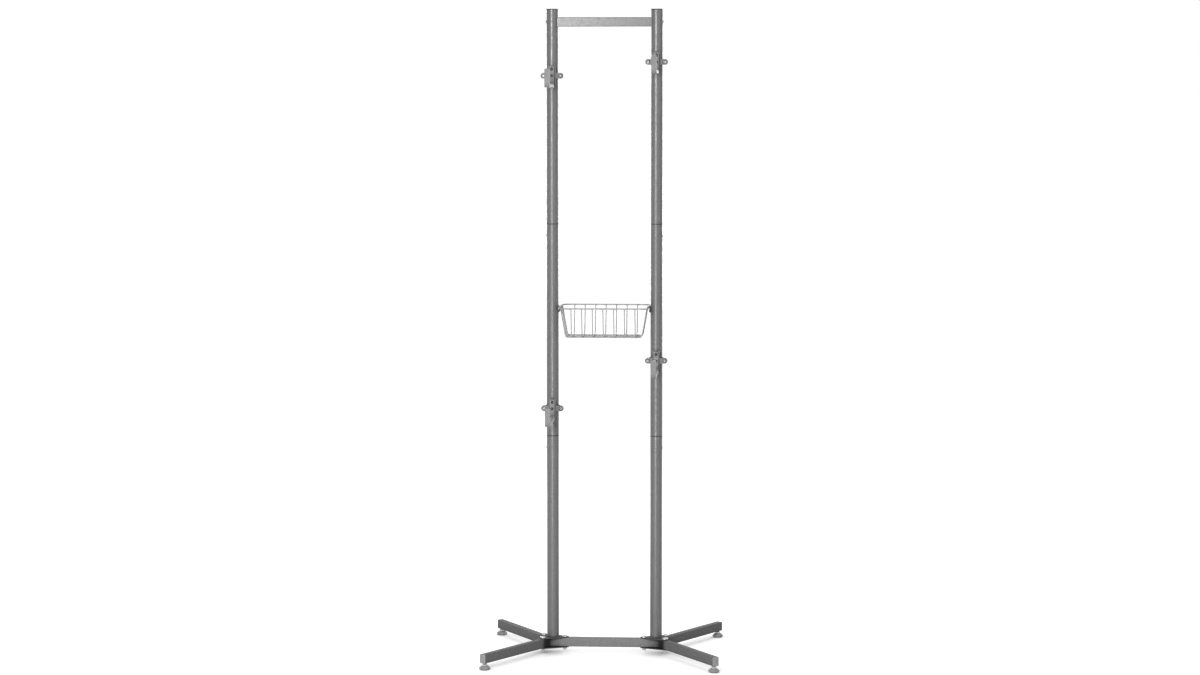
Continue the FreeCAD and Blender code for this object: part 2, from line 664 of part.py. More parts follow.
def base_plates():
    """Make the plates over and under the legs, with the bolts and nuts that hold the base together."""
    outer, inner = "half_spacing - leg_bolt_x", "half_spacing - bar_bolt_x"
    corners = ((outer, "-leg_bolt_y"), (inner, "0"), (outer, "leg_bolt_y"))
    for level, height in (("top", "leg_top"), ("bottom", "leg_floor_gap - plate_thickness")):
        for side, sign in SIDES:
            plate = new_body("base_plate_%s_%s" % (level, side))
            edge = new_sketch(plate, "edge", "XY_Plane")
            rounded(edge, corners, "plate_corner")
            for x, y in corners:
                circle(edge, x, y, "base_bolt_hole / 2")
            pad(plate, edge, "plate_thickness")
            subpart(place(plate, x="%d * half_spacing" % sign, z=height, turn="90 + %d * 90" % sign))

    bolt_spots = []
    nut_spots = []
    for _, sign in SIDES:
        for x, y in (("leg_bolt_x", "-leg_bolt_y"), ("bar_bolt_x", "0"), ("leg_bolt_x", "leg_bolt_y")):
            spot = {"x": "%d * %s" % (sign, x), "y": y}
            bolt_spots.append(dict(spot, z="plate_top"))
            nut_spots.append(dict(spot, z="leg_floor_gap - plate_thickness"))
    bolt = screw(
        "base_bolt", "Z", "base_bolt_head / 2", "base_bolt_dome", "base_bolt_diameter / 2",
        "leg_height + 2 * plate_thickness + base_nut_height + base_bolt_tail", "base_bolt_dome * 0.8",
    )
    copies("base_bolts", bolt, bolt_spots)
    nut = new_body("base_nut")
    form = new_sketch(nut, "form", "XY_Plane")
    hexagon(form, "base_nut_flats")
    circle(form, "0", "0", "base_bolt_diameter / 2 + thread_gap")
    pad(nut, form, "base_nut_height", backward=True)
    copies("base_nuts", nut, nut_spots)


def seam_screws():
    """Make the side screws under each column seam."""
    body = screw(
        "seam_screw", "X", "small_screw_head / 2", "small_screw_head_height", "small_screw_diameter / 2",
        "small_screw_grip", "small_screw_head_height * 0.6",
    )
    copies("seam_screws", body, [
        {
            "x": "%d * (half_spacing + head_seat)" % sign,
            "z": seam + " - seam_screw_drop",
            "turn": "90 + %d * 90" % sign,
        }
        for seam in ("column_seam_low", "column_seam_high") for _, sign in SIDES
    ])


def levelling_feet():
    """Make the four feet: a pad that slides with its stem, and the threaded stem that turns in it."""
    for end, fore in ENDS:
        for side, sign in SIDES:
            spot = {"x": "%d * foot_x" % sign, "y": "%d * foot_y" % fore}
            base = new_body("foot_pad_%s_%s" % (end, side))
            sole, rim, crown = "foot_pad_sole / 2", "foot_pad_diameter / 2", "foot_pad_crown / 2"
            bore = "foot_stem_diameter / 2 + running_gap"
            turn_profile(base, "profile", (
                ("0", "0"), (sole, "0"), (rim, "foot_pad_flare"), (rim, "foot_pad_rim"),
                (crown, "foot_pad_height"), (bore, "foot_pad_height"), (bore, "foot_pad_floor"),
                ("0", "foot_pad_floor"),
            ), "Z", {3: "foot_pad_diameter * 0.42"})
            subpart(place(base, **spot))
            stem = new_body("foot_stem_%s_%s" % (end, side))
            radius = "foot_stem_diameter / 2"
            turn_profile(stem, "shank", (
                ("0", "foot_pad_floor"), (radius, "foot_pad_floor"), (radius, "foot_stem_top - 1"),
                (radius + " - 1", "foot_stem_top"), ("0", "foot_stem_top"),
            ), "Z")
            collar = new_sketch(stem, "collar", "XY_Plane", "foot_pad_height")
            hexagon(collar, "foot_collar_flats")
            pad(stem, collar, "foot_collar_height")
            subpart(place(stem, **spot))


def across(point):
    """Give the point that faces this one from the other side of the sketch's upright axis."""
    return FreeCAD.Vector(-point.x, point.y, 0)


def bent_wire(body, plane, half_top, half_floor, rim_level, floor_level, offset, cross_plane, count):
    """Sweep a wire down from the rim, across the floor and up again, then repeat it side by side."""
    path = new_sketch(body, "path", plane, offset)
    top, floor_half = number(half_top), number(half_floor)
    high, low = number(rim_level), number(floor_level)
    bend = number("mesh_bend")
    slope = math.atan2(high - low, top - floor_half)
    back = bend * math.tan(slope / 2)
    away_x, away_y = math.cos(slope), math.sin(slope)
    corner = FreeCAD.Vector(floor_half, low, 0)
    up_start = corner + FreeCAD.Vector(away_x * back, away_y * back, 0)
    flat_end = corner - FreeCAD.Vector(back, 0, 0)
    centre = flat_end + FreeCAD.Vector(0, bend, 0)
    normal, down = FreeCAD.Vector(0, 0, 1), 1.5 * math.pi
    path.addGeometry(Part.LineSegment(FreeCAD.Vector(-top, high, 0), across(up_start)))
    path.addGeometry(Part.ArcOfCircle(Part.Circle(across(centre), normal, bend), down - slope, down))
    path.addGeometry(Part.LineSegment(across(flat_end), flat_end))
    path.addGeometry(Part.ArcOfCircle(Part.Circle(centre, normal, bend), down, down + slope))
    path.addGeometry(Part.LineSegment(up_start, FreeCAD.Vector(top, high, 0)))
    for index in range(4):
        path.addConstraint(Sketcher.Constraint("Tangent", index, 2, index + 1, 1))
    for index in (1, 3):
        fix_radius(path, index, "mesh_bend")
    fix_point(path, 0, 1, "-(%s)" % half_top, rim_level)
    fix_point(path, 4, 2, half_top, rim_level)
    # The straight runs meet at the corners of the basket's floor.
    for line, end, sign in ((0, 1, -1), (4, 2, 1)):
        tip = FreeCAD.Vector(sign * floor_half, low, 0)
        helper = path.addGeometry(Part.Point(tip), True)
        fix_point(path, helper, 1, "%d * (%s)" % (sign, half_floor), floor_level)
        path.addConstraint(Sketcher.Constraint("PointOnObject", helper, 1, line))
    path.addConstraint(Sketcher.Constraint("Horizontal", 2))
    level = path.addConstraint(Sketcher.Constraint("DistanceY", -1, 1, 2, 1, low))
    path.setExpression("Constraints[%d]" % level, bound(floor_level))

    section = new_sketch(body, "section", cross_plane)
    side = offset if plane == "YZ_Plane" else "-(%s)" % offset
    circle(section, side, floor_level, "mesh_wire_radius")
    pipe = body.newObject("PartDesign::AdditivePipe", body.Name + "_wire")
    pipe.Profile = section
    pipe.Spine = (path, [])
    doc.recompute()
    row = body.newObject("PartDesign::LinearPattern", body.Name + "_row")
    row.Originals = [pipe]
    role = "X_Axis" if plane == "YZ_Plane" else "Y_Axis"
    row.Direction = (next(item for item in body.Origin.OriginFeatures if item.Role == role), [""])
    row.Occurrences = count
    bind(row, Length="%d * mesh_pitch" % (count - 1))
    body.Tip = row
    doc.recompute()


def basket():
    """Make the basket: rim, wires across, wires lengthwise, and the hangers that carry the rim."""
    rim = new_body("basket_rim")
    path = new_sketch(rim, "path", "XY_Plane")
    inner_x, inner_y = "(rim_half_x - basket_corner)", "(rim_half_y - basket_corner)"
    rounded(path, (
        ("-" + inner_x, "-" + inner_y), (inner_x, "-" + inner_y),
        (inner_x, inner_y), ("-" + inner_x, inner_y),
    ), "basket_corner")
    section = new_sketch(rim, "section", "YZ_Plane")
    circle(section, "-rim_half_y", "0", "rim_wire_radius")
    pipe = rim.newObject("PartDesign::AdditivePipe", "basket_rim_wire")
    pipe.Profile = section
    pipe.Spine = (path, [])
    doc.recompute()
    subpart(place(rim, z="basket_rim_height"))

    cross = new_body("basket_cross_wires")
    bent_wire(
        cross, "YZ_Plane", "cross_top", "basket_floor_y / 2", "basket_rim_height", "basket_floor_height",
        "-3 * mesh_pitch", "XZ_Plane", 7,
    )
    subpart(cross)
    lengthwise = new_body("basket_long_wires")
    bent_wire(
        lengthwise, "XZ_Plane", "long_top", "floor_half_x", "basket_rim_height", "long_floor_height",
        "1.5 * mesh_pitch", "YZ_Plane", 4,
    )
    subpart(lengthwise)

    for side, sign in SIDES:
        hanger = new_body("basket_hanger_" + side)
        plate = new_sketch(hanger, "plate", "XY_Plane", "hanger_low")
        rectangle(
            plate, "hanger_face - hanger_overlap", "-hanger_width / 2", "hanger_face", "hanger_width / 2",
        )
        pad(hanger, plate, "hanger_high - hanger_low")
        hook = new_sketch(hanger, "hook", "XZ_Plane")
        hook_far = "rim_stand + hook_radius + hook_wall"
        hook_low = "basket_rim_height - hook_radius - hook_wall"
        rectangle(hook, "hanger_face - 1", hook_low, hook_far, "basket_rim_height + hook_rise")
        pad(hanger, hook, "hook_width", both=True)
        column = new_sketch(hanger, "column_seat", "XY_Plane")
        circle(column, "0", "0", "column_radius")
        cut_through(hanger, column, both=True)
        channel = new_sketch(hanger, "channel", "XZ_Plane")
        outline(channel, (
            ("rim_stand - hook_radius", "basket_rim_height"),
            ("rim_stand + hook_radius", "basket_rim_height"),
            ("rim_stand + hook_radius", "basket_rim_height + 2 * hook_rise"),
            ("rim_stand - hook_radius", "basket_rim_height + 2 * hook_rise"),
        ), {0: "half"})
        cut_through(hanger, channel, both=True)
        hole = new_sketch(hanger, "screw_hole", "YZ_Plane")
        circle(hole, "0", "hanger_screw_height", "small_screw_hole / 2")
        cut_through(hanger, hole, backward=True)
        subpart(place(hanger, x="%d * half_spacing" % sign, turn="90 + %d * 90" % sign))
    body = screw(
        "hanger_screw", "X", "small_screw_head / 2", "small_screw_head_height", "small_screw_diameter / 2",
        "small_screw_grip + hanger_face - head_seat", "small_screw_head_height * 0.6",
    )
    copies("hanger_screws", body, [
        {
            "x": "%d * (half_spacing - hanger_face)" % sign,
            "z": "hanger_screw_height",
            "turn": "90 - %d * 90" % sign,
        }
        for _, sign in SIDES
    ])


def arm_bar(body):
    """Form the bar: a foot against the clamp, the arm forwards and a lip turned up at its end."""
    side = new_sketch(body, "side", "YZ_Plane")
    outline(side, (
        ("-clamp_face", "-arm_drop"), ("-clamp_face", "arm_foot_rise"), ("-arm_foot_face", "arm_foot_rise"),
        ("-arm_foot_face", "arm_top"), ("-arm_lip_face", "arm_top"), ("-arm_lip_face", "arm_lip_rise"),
        ("-arm_reach", "arm_lip_rise"), ("-arm_reach", "-arm_drop"),
    ))
    pad(body, side, "arm_width", both=True)
    sideways = FreeCAD.Vector(1, 0, 0)
    for name, radius, y, z in (
        ("lip_bend", "arm_lip_bend", "-arm_reach", "-arm_drop"),
        ("lip_hollow", "arm_lip_hollow", "-arm_lip_face", "arm_top"),
        ("foot_bend", "arm_foot_bend", "-clamp_face", "-arm_drop"),
        ("foot_hollow", "arm_foot_bend", "-arm_foot_face", "arm_top"),
    ):
        level = {"y": number(y), "z": number(z)}
        round_edges(body, name, radius, lambda edge: along(edge, sideways) and at(edge, **level))
    lip_top, foot_top = number("arm_lip_rise"), number("arm_foot_rise")
    forward = FreeCAD.Vector(0, 1, 0)
    round_edges(body, "lip_corners", "arm_width / 4", lambda edge: along(edge, forward) and (
        abs(edge.BoundBox.Center.z - lip_top) < 0.01 or abs(edge.BoundBox.Center.z - foot_top) < 0.01
    ))
    holes = new_sketch(body, "foot_holes", "XZ_Plane")
    circle(holes, "0", "0", "small_screw_hole / 2")
    foot_cut(body, holes)
    slot = new_sketch(body, "foot_slot", "XZ_Plane")
    rounded(slot, (
        ("0", "arm_screw_rise - arm_slot_length / 2"), ("0", "arm_screw_rise + arm_slot_length / 2"),
    ), "small_screw_hole / 2")
    foot_cut(body, slot)


def foot_cut(body, sketch):
    """Cut a sketch through the foot of the arm only, which stands between the clamp and the arm."""
    sketch.setExpression("AttachmentOffset.Base.z", bound("arm_foot_face + arm_thickness"))
    before = body.Shape.Volume
    feature = body.newObject("PartDesign::Pocket", sketch.Name + "_cut")
    feature.Profile = sketch
    feature.Type = "Length"
    bind(feature, Length="3 * arm_thickness")
    doc.recompute()
    if body.Shape.Volume > before - 0.01:
        raise RuntimeError(sketch.Name + " cuts nothing")


def cradle_pad(body):
    """Form the rubber pad that lines the arm and fills its front corner with a hollow seat."""
    side = new_sketch(body, "side", "YZ_Plane")
    outline(side, (
        ("-pad_start", "arm_top"), ("-pad_start", "pad_top"), ("-pad_seat_start", "pad_top"),
        ("-pad_lip_face", "pad_top + pad_seat_radius"), ("-pad_lip_face", "pad_lip_rise"),
        ("-arm_lip_face", "pad_lip_rise"), ("-arm_lip_face", "arm_top + arm_lip_hollow"),
        ("arm_lip_hollow - arm_lip_face", "arm_top"),
    ), {2: "-pad_seat_radius", 6: "arm_lip_hollow"})
    pad(body, side, "arm_width", both=True)


def clamp_front(body):
    """Form the front half of the clamp: an upright plate on the column with a round ear each side."""
    plate = new_sketch(body, "plate", "XZ_Plane", "clamp_face")
    half = "(spine_width / 2 - spine_corner)"
    low, high = "(spine_corner - spine_drop)", "(spine_rise - spine_corner)"
    rounded(plate, (("-" + half, low), (half, low), (half, high), ("-" + half, high)), "spine_corner")
    pad(body, plate, "spine_depth", backward=True)
    band = new_sketch(body, "band", "XZ_Plane", "clamp_face")
    rounded(band, (("-ear_offset", "0"), ("ear_offset", "0")), "ear_radius")
    pad(body, band, "ear_thickness", backward=True)
    column = new_sketch(body, "column_seat", "XY_Plane")
    circle(column, "0", "0", "clamp_bore")
    cut_through(body, column, both=True)
    holes = new_sketch(body, "ear_holes", "XZ_Plane")
    for sign in (-1, 1):
        circle(holes, "%d * ear_offset" % sign, "0", "button_hole / 2")
    cut_through(body, holes, both=True)
    threads = new_sketch(body, "foot_threads", "XZ_Plane")
    circle(threads, "0", "0", "small_screw_diameter / 2 + thread_gap")
    circle(threads, "0", "arm_screw_rise", "small_screw_diameter / 2 + thread_gap")
    cut_through(body, threads, both=True)


def clamp_rear(body):
    """Form the rear half of the clamp: a strap round the column with a round ear each side."""
    ears = new_sketch(body, "ears", "XZ_Plane", "rear_ear_front")
    rounded(ears, (("-ear_offset", "0"), ("ear_offset", "0")), "ear_radius")
    pad(body, ears, "ear_thickness", backward=True)
    strap = new_sketch(body, "strap", "XY_Plane")
    outline(strap, (
        ("-strap_radius", "-rear_ear_back"), ("strap_radius", "-rear_ear_back"), ("strap_radius", "0"),
        ("-strap_radius", "0"),
    ), {2: "half"})
    pad(body, strap, "2 * ear_radius", both=True)
    hollow = new_sketch(body, "hollow", "XY_Plane")
    outline(hollow, (
        ("-clamp_bore", "-clamp_face"), ("clamp_bore", "-clamp_face"),
        ("clamp_bore", "0"), ("-clamp_bore", "0"),
    ), {2: "half"})
    cut_through(body, hollow, both=True)
    threads = new_sketch(body, "ear_threads", "XZ_Plane")
    for sign in (-1, 1):
        circle(threads, "%d * ear_offset" % sign, "0", "button_diameter / 2 + thread_gap")
    cut_through(body, threads, both=True)


def arms():
    """Make the four arms, each with its clamp, pad and screws."""
    for tier in TIERS:
        for side, sign in SIDES:
            where = "%s_%s" % (tier, side)
            spot = {"x": "%d * half_spacing" % sign, "z": "arm_height_" + where}
            for form in (arm_bar, cradle_pad, clamp_front, clamp_rear):
                body = new_body("%s_%s" % (form.__name__, where))
                form(body)
                subpart(place(body, **spot))
            ear_bolts = screw(
                "ear_bolt_" + where, "Y", "button_head / 2", "button_head_height", "button_diameter / 2",
                "clamp_face - rear_ear_back", "button_head_height * 0.7",
            )
            foot_screws = screw(
                "foot_screw_" + where, "Y", "small_screw_head / 2", "small_screw_head_height",
                "small_screw_diameter / 2", "arm_foot_face - clamp_bore - 2 * clamp_gap",
                "small_screw_head_height * 0.6",
            )
            items = []
            for body, x, y, z in (
                (ear_bolts, "-ear_offset", "-clamp_face", "0"),
                (None, "ear_offset", "-clamp_face", "0"),
                (foot_screws, "0", "-arm_foot_face", "0"),
                (None, "0", "-arm_foot_face", "arm_screw_rise"),
            ):
                if body is None:
                    body = doc.addObject("App::Link", "screw_copy_" + where)
                    body.LinkedObject = items[-1]
                items.append(place(body, x="%s + %s" % (spot["x"], x), y=y, z="%s + %s" % (spot["z"], z)))
            group("arm_screws_" + where, items)


def check_and_write():
    """Make sure that every object is sound, then write one file for each piece."""
    doc.recompute()
    for item in doc.Objects:
        if "Invalid" in item.State or "Error" in item.State:
            raise RuntimeError("%s failed: %s" % (item.Name, item.State))
    if len(subparts) > 60 or len({item.Label for item in subparts}) != len(subparts):
        raise RuntimeError("piece names or count")
    for item in subparts:
        if item.Shape.isNull() or not item.Shape.isValid() or not item.Shape.Solids:
            raise RuntimeError(item.Label + " is not a sound solid")
        item.Shape.exportStep("parts/%s.step" % item.Label)


fill_sheet()
columns()
crossbars()
legs()
base_plates()
seam_screws()
levelling_feet()
basket()
arms()
check_and_write()
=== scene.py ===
import logging
import math
from dataclasses import dataclass, field
from enum import Enum
from typing import Callable, Iterable, Sequence

import bmesh
import bpy
from mathutils import Matrix, Vector


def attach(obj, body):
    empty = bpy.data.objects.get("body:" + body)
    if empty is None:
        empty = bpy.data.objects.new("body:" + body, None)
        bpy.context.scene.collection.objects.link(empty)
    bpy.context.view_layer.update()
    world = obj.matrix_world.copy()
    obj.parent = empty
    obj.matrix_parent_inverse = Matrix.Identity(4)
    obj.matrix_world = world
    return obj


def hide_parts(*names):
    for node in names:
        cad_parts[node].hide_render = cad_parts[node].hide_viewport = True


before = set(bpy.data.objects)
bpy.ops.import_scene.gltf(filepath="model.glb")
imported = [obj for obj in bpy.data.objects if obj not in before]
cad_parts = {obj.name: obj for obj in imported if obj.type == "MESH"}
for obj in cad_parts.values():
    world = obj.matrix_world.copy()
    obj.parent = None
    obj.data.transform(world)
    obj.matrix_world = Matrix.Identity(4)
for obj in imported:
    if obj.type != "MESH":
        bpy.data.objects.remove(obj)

LOG = logging.getLogger("rack")
MM = 0.001
SIDES = (("left", -1), ("right", 1))
ENDS = (("front", -1), ("rear", 1))
UP = (0, 0, 1)
WHITE = (1, 1, 1, 1)
# In millimetres, from the rack's middle to the columns' axes and to the feet.
HALF_SPACING = 171.5
FOOT_X, FOOT_Y = 371.0, 306.0
Loop = list[Vector]
Point = tuple[float, float]
Spot = tuple[float, float, float, Sequence[float]]
Node = bpy.types.Node
Socket = bpy.types.NodeSocket
Mesh = bpy.types.Mesh


class Recess(Enum):
    """The driver hole in a screw's head."""

    NONE = "none"
    HEXAGON = "hexagon"
    CROSS = "cross"


class Graph:
    """A node tree that is written a node at a time."""

    def __init__(self, tree: bpy.types.NodeTree) -> None:
        """Keep the tree that the nodes go into."""
        self.tree = tree

    def add(self, kind: str, setup: dict[str, object] | None = None, **inputs: object) -> Node:
        """Add a node.

        Args:
            kind: The node's type.
            setup: Properties of the node itself, set first.
            **inputs: Values or output sockets for its inputs, by name, with _ for a space.

        Returns:
            The new node.
        """
        node = self.tree.nodes.new(kind)
        for name, value in (setup or {}).items():
            setattr(node, name, value)
        for name, value in inputs.items():
            self.feed(node, name.replace("_", " "), value)
        return node

    def feed(self, node: Node, name: str | int, value: object) -> None:
        """Give an input a value, or link an output to it.

        Args:
            node: The node that owns the input.
            name: The input's name or number.
            value: A plain value or an output socket.
        """
        socket = node.inputs[name]
        if isinstance(value, Socket):
            self.tree.links.new(value, socket)
        else:
            socket.default_value = value

    def feed_in_order(self, node: Node, values: Iterable[object]) -> Node:
        """Give a node's first inputs their values, in order."""
        for index, value in enumerate(values):
            self.feed(node, index, value)
        return node

    def math(self, operation: str, first: object, second: object = 0.0) -> Socket:
        """Work a number out of two others."""
        node = self.add("ShaderNodeMath", {"operation": operation})
        return self.feed_in_order(node, (first, second)).outputs[0]

    def ramp(self, value: object, low: float, high: float, start: float, end: float) -> Socket:
        """Map a number from one span to another, held at the ends."""
        node = self.add("ShaderNodeMapRange", {"clamp": True})
        return self.feed_in_order(node, (value, low, high, start, end)).outputs[0]

    def mix(self, share: object, first: object, second: object) -> Socket:
        """Mix two colours."""
        node = self.add("ShaderNodeMix", {"data_type": "RGBA"})
        self.feed(node, 0, share)
        self.feed(node, 6, first)
        self.feed(node, 7, second)
        return node.outputs[2]

    def noise(self, place: Socket, scale: float, detail: float, **more: float) -> Socket:
        """Make soft noise that runs from 0 to 1."""
        return self.add("ShaderNodeTexNoise", Vector=place, Scale=scale, Detail=detail, **more).outputs["Fac"]

    def bump(self, height: Socket, strength: float, distance: float, **more: object) -> Socket:
        """Turn a pattern's height into a tilt of the surface."""
        node = self.add("ShaderNodeBump", Height=height, Strength=strength, Distance=distance, **more)
        return node.outputs["Normal"]

    def seen(self) -> Socket:
        """Tell the rays that look at things from those that carry light."""
        rays = self.add("ShaderNodeLightPath")
        seen = self.math("MAXIMUM", rays.outputs["Is Camera Ray"], rays.outputs["Is Glossy Ray"])
        return self.math("MAXIMUM", seen, rays.outputs["Is Transmission Ray"])


def fresh_graph(owner: bpy.types.Material | bpy.types.World) -> Graph:
    """Empty the node tree of a material or a world."""
    owner.use_nodes = True
    owner.node_tree.nodes.clear()
    return Graph(owner.node_tree)


@dataclass(frozen=True)
class Finish:
    """A surface: its colour, how it shines and the marks it carries."""

    name: str
    slot: str
    colour: tuple[float, float, float]
    roughness: float
    metallic: float = 0.0
    specular: float = 0.5

    def rgba(self, gain: float = 1.0) -> tuple[float, float, float, float]:
        """Give the colour with its brightness changed."""
        red, green, blue = (min(1.0, part * gain) for part in self.colour)
        return (red, green, blue, 1.0)

    def material(self) -> bpy.types.Material:
        """Make the material, or find it if it is made already."""
        known = bpy.data.materials.get(self.name)
        if known:
            return known
        made = bpy.data.materials.new(self.name)
        graph = fresh_graph(made)
        shader = graph.add(
            "ShaderNodeBsdfPrincipled", Metallic=self.metallic, Specular_IOR_Level=self.specular,
        )
        place = graph.add("ShaderNodeTexCoord").outputs["Object"]
        self.paint(graph, shader, place)
        graph.add("ShaderNodeOutputMaterial", Surface=shader.outputs[0])
        return made

    def paint(self, graph: Graph, shader: Node, place: Socket) -> None:
        """Give the shader its colour, roughness and relief from the position on the object, in metres."""
        raise NotImplementedError

    def lay(self, graph: Graph, shader: Node, colour: Socket, rough: Socket, normal: Socket) -> None:
        """Hand the shader a colour, a roughness and a tilt."""
        graph.feed(shader, "Base Color", colour)
        graph.feed(shader, "Roughness", rough)
        graph.feed(shader, "Normal", normal)

    def roughen(self, graph: Graph, pattern: Socket, high: float, below: float, above: float) -> Socket:
        """Let noise, up to its high value, move the roughness from below the finish's own to above it."""
        return graph.ramp(pattern, 0.3, high, self.roughness - below, self.roughness + above)

    def painted_shade(self, graph: Graph, body: Socket, reach: float, left: float) -> Socket:
        """Darken the colour in corners and narrow gaps, as painted shade.

        Args:
            graph: The material's tree.
            body: The colour without the painted shade.
            reach: How far from a corner the painted shade reaches, in metres.
            left: The brightness that is left in the deepest corner.

        Returns:
            The colour with the painted shade.
        """
        # Painted shade: ambient occlusion darkens the colour where corners and gaps fall in shade.
        corner = graph.add("ShaderNodeAmbientOcclusion", {"samples": 8}, Distance=reach)
        share = graph.ramp(corner.outputs["AO"], 0.25, 0.9, 0.0, 1.0)
        shaded_colour = graph.add("ShaderNodeVectorMath", {"operation": "SCALE"})
        graph.feed(shaded_colour, 0, body)
        graph.feed(shaded_colour, "Scale", left)
        return graph.mix(share, shaded_colour.outputs[0], body)


@dataclass(frozen=True)
class HammeredPaint(Finish):
    """Silver-grey paint that dried in hammered dimples, each with a soft ridge round it."""

    dimple: float = 0.0042
    depth: float = 0.00017
    contrast: float = 0.08
    flake_scale: float = 2400.0
    cloud_scale: float = 95.0
    scuff_scale: float = 70.0
    # Reach and remaining brightness of the painted corner shade.
    painted_shade_reach: float = 0.05
    painted_shade_left: float = 0.1

    def paint(self, graph: Graph, shader: Node, place: Socket) -> None:
        """Lay dimples of two sizes, metal flake, broad cloudiness and light scuffs over each other, then
        painted shade in corners.
        """
        ridge = self.ridges(graph, place)
        flake = graph.noise(place, self.flake_scale, 2.0, Roughness=0.7)
        cloud = graph.noise(place, self.cloud_scale, 4.0)
        scuff = graph.noise(place, self.scuff_scale, 6.0, Roughness=0.75, Distortion=1.2)
        body = graph.mix(ridge, self.rgba(1.0 + self.contrast), self.rgba(1.0 - 2.2 * self.contrast))
        for marks, low, high, share, gain in (
            (flake, 0.55, 0.75, 0.3, 1.7), (cloud, 0.38, 0.66, 0.32, 0.7), (scuff, 0.66, 0.76, 0.35, 1.35),
        ):
            body = graph.mix(graph.ramp(marks, low, high, 0.0, share), body, self.rgba(gain))
        # Painted shade in corners, then the joint paint's painted shade in the leg corners.
        colour = self.painted_joint_shade(graph, self.painted_shade(graph, body, self.painted_shade_reach, self.painted_shade_left), place)
        rough = graph.ramp(ridge, 0.1, 0.8, self.roughness - 0.05, self.roughness + 0.09)
        relief = graph.bump(ridge, 0.7, self.depth)
        self.lay(graph, shader, colour, rough, graph.bump(flake, 0.1, 0.0001, Normal=relief))

    def ridges(self, graph: Graph, place: Socket) -> Socket:
        """Make a height, low in a dimple and high on a ridge, for dimples of two sizes in an uneven row."""
        drift = graph.add("ShaderNodeTexNoise", Vector=place, Scale=0.45 / self.dimple, Detail=2.0)
        moved = graph.add("ShaderNodeVectorMath", {"operation": "MULTIPLY_ADD"})
        graph.feed_in_order(moved, (drift.outputs["Color"], (1.1 * self.dimple,) * 3, place))
        bowls = []
        for size, smooth, share in ((1.0, 0.5, 0.72), (0.53, 0.35, 0.28)):
            cells = graph.add(
                "ShaderNodeTexVoronoi", {"feature": "SMOOTH_F1"}, Vector=moved.outputs[0],
                Scale=1.0 / (self.dimple * size), Smoothness=smooth,
            )
            bowl = graph.ramp(cells.outputs["Distance"], 0.0, 0.7, 0.0, 1.0)
            bowls.append(graph.math("MULTIPLY", bowl, share))
        return graph.math("POWER", graph.math("ADD", *bowls), 1.6)

    def painted_joint_shade(self, graph: Graph, body: Socket, place: Socket) -> Socket:
        """Leave the colour as it is; a finish with painted shade in its joint corners darkens them here."""
        return body


@dataclass(frozen=True)
class JointPaint(HammeredPaint):
    """The same paint, with painted shade in the inner corners between the legs and the crossbar."""

    corner_x: float = 0.192
    corner_y: float = 0.033
    dark_radius: float = 0.010
    fade_radius: float = 0.032
    leg_side: float = 0.197
    leg_fade: float = 0.207

    def painted_joint_shade(self, graph: Graph, body: Socket, place: Socket) -> Socket:
        """Darken the paint round the four corners as painted shade, up to the outer sides of the legs."""
        parts = graph.feed_in_order(graph.add("ShaderNodeSeparateXYZ"), (place,))
        across, along = (graph.math("ABSOLUTE", parts.outputs[index]) for index in (0, 1))
        off_x = graph.math("SUBTRACT", across, self.corner_x)
        off_y = graph.math("SUBTRACT", along, self.corner_y)
        square = graph.math("ADD", graph.math("MULTIPLY", off_x, off_x), graph.math("MULTIPLY", off_y, off_y))
        near = graph.ramp(graph.math("SQRT", square), self.dark_radius, self.fade_radius, 1.0, 0.0)
        inner = graph.ramp(across, self.leg_side, self.leg_fade, 0.93, 0.0)
        # Painted shade: the corners go near black where the joint lies in shade.
        return graph.mix(graph.math("MULTIPLY", near, inner), body, self.rgba(0.06))


@dataclass(frozen=True)
class CoatedWire(Finish):
    """Smooth grey coating on wire, a little cloudy, with painted shade in the corners."""

    def paint(self, graph: Graph, shader: Node, place: Socket) -> None:
        """Lay orange peel, slow colour changes and painted corner shade over the base colour."""
        peel = graph.noise(place, 900.0, 3.0)
        body = graph.mix(graph.noise(place, 40.0, 2.0), self.rgba(0.84), self.rgba(1.16))
        rough = self.roughen(graph, peel, 0.7, 0.05, 0.08)
        # The colour darkens near crossing wires and bends as painted shade.
        self.lay(graph, shader, self.painted_shade(graph, body, 0.008, 0.3), rough, graph.bump(peel, 0.25, 0.0001))


@dataclass(frozen=True)
class PlatedSteel(Finish):
    """Zinc plated or blackened steel, with faint turning marks and handling marks."""

    def paint(self, graph: Graph, shader: Node, place: Socket) -> None:
        """Lay fine scratches and blotches over the metal."""
        scratch = graph.noise(place, 1800.0, 4.0, Distortion=1.5)
        body = graph.mix(graph.noise(place, 160.0, 2.0), self.rgba(0.82), self.rgba(1.12))
        rough = self.roughen(graph, scratch, 0.75, 0.08, 0.14)
        self.lay(graph, shader, body, rough, graph.bump(scratch, 0.18, 0.00008))


@dataclass(frozen=True)
class Moulded(Finish):
    """Moulded plastic or rubber with a fine spark-eroded grain and scuffs."""

    grain: float = 0.0007
    relief: float = 0.3

    def paint(self, graph: Graph, shader: Node, place: Socket) -> None:
        """Lay the mould's grain and slight scuffing over the base colour."""
        grain = graph.noise(place, 1.0 / self.grain, 3.0, Roughness=0.6)
        scuff = graph.noise(place, 55.0, 5.0, Distortion=0.8)
        body = graph.mix(graph.ramp(scuff, 0.4, 0.75, 0.0, 0.6), self.rgba(0.94), self.rgba(1.35))
        rough = self.roughen(graph, grain, 0.7, 0.07, 0.07)
        self.lay(graph, shader, body, rough, graph.bump(grain, self.relief, 0.00012))


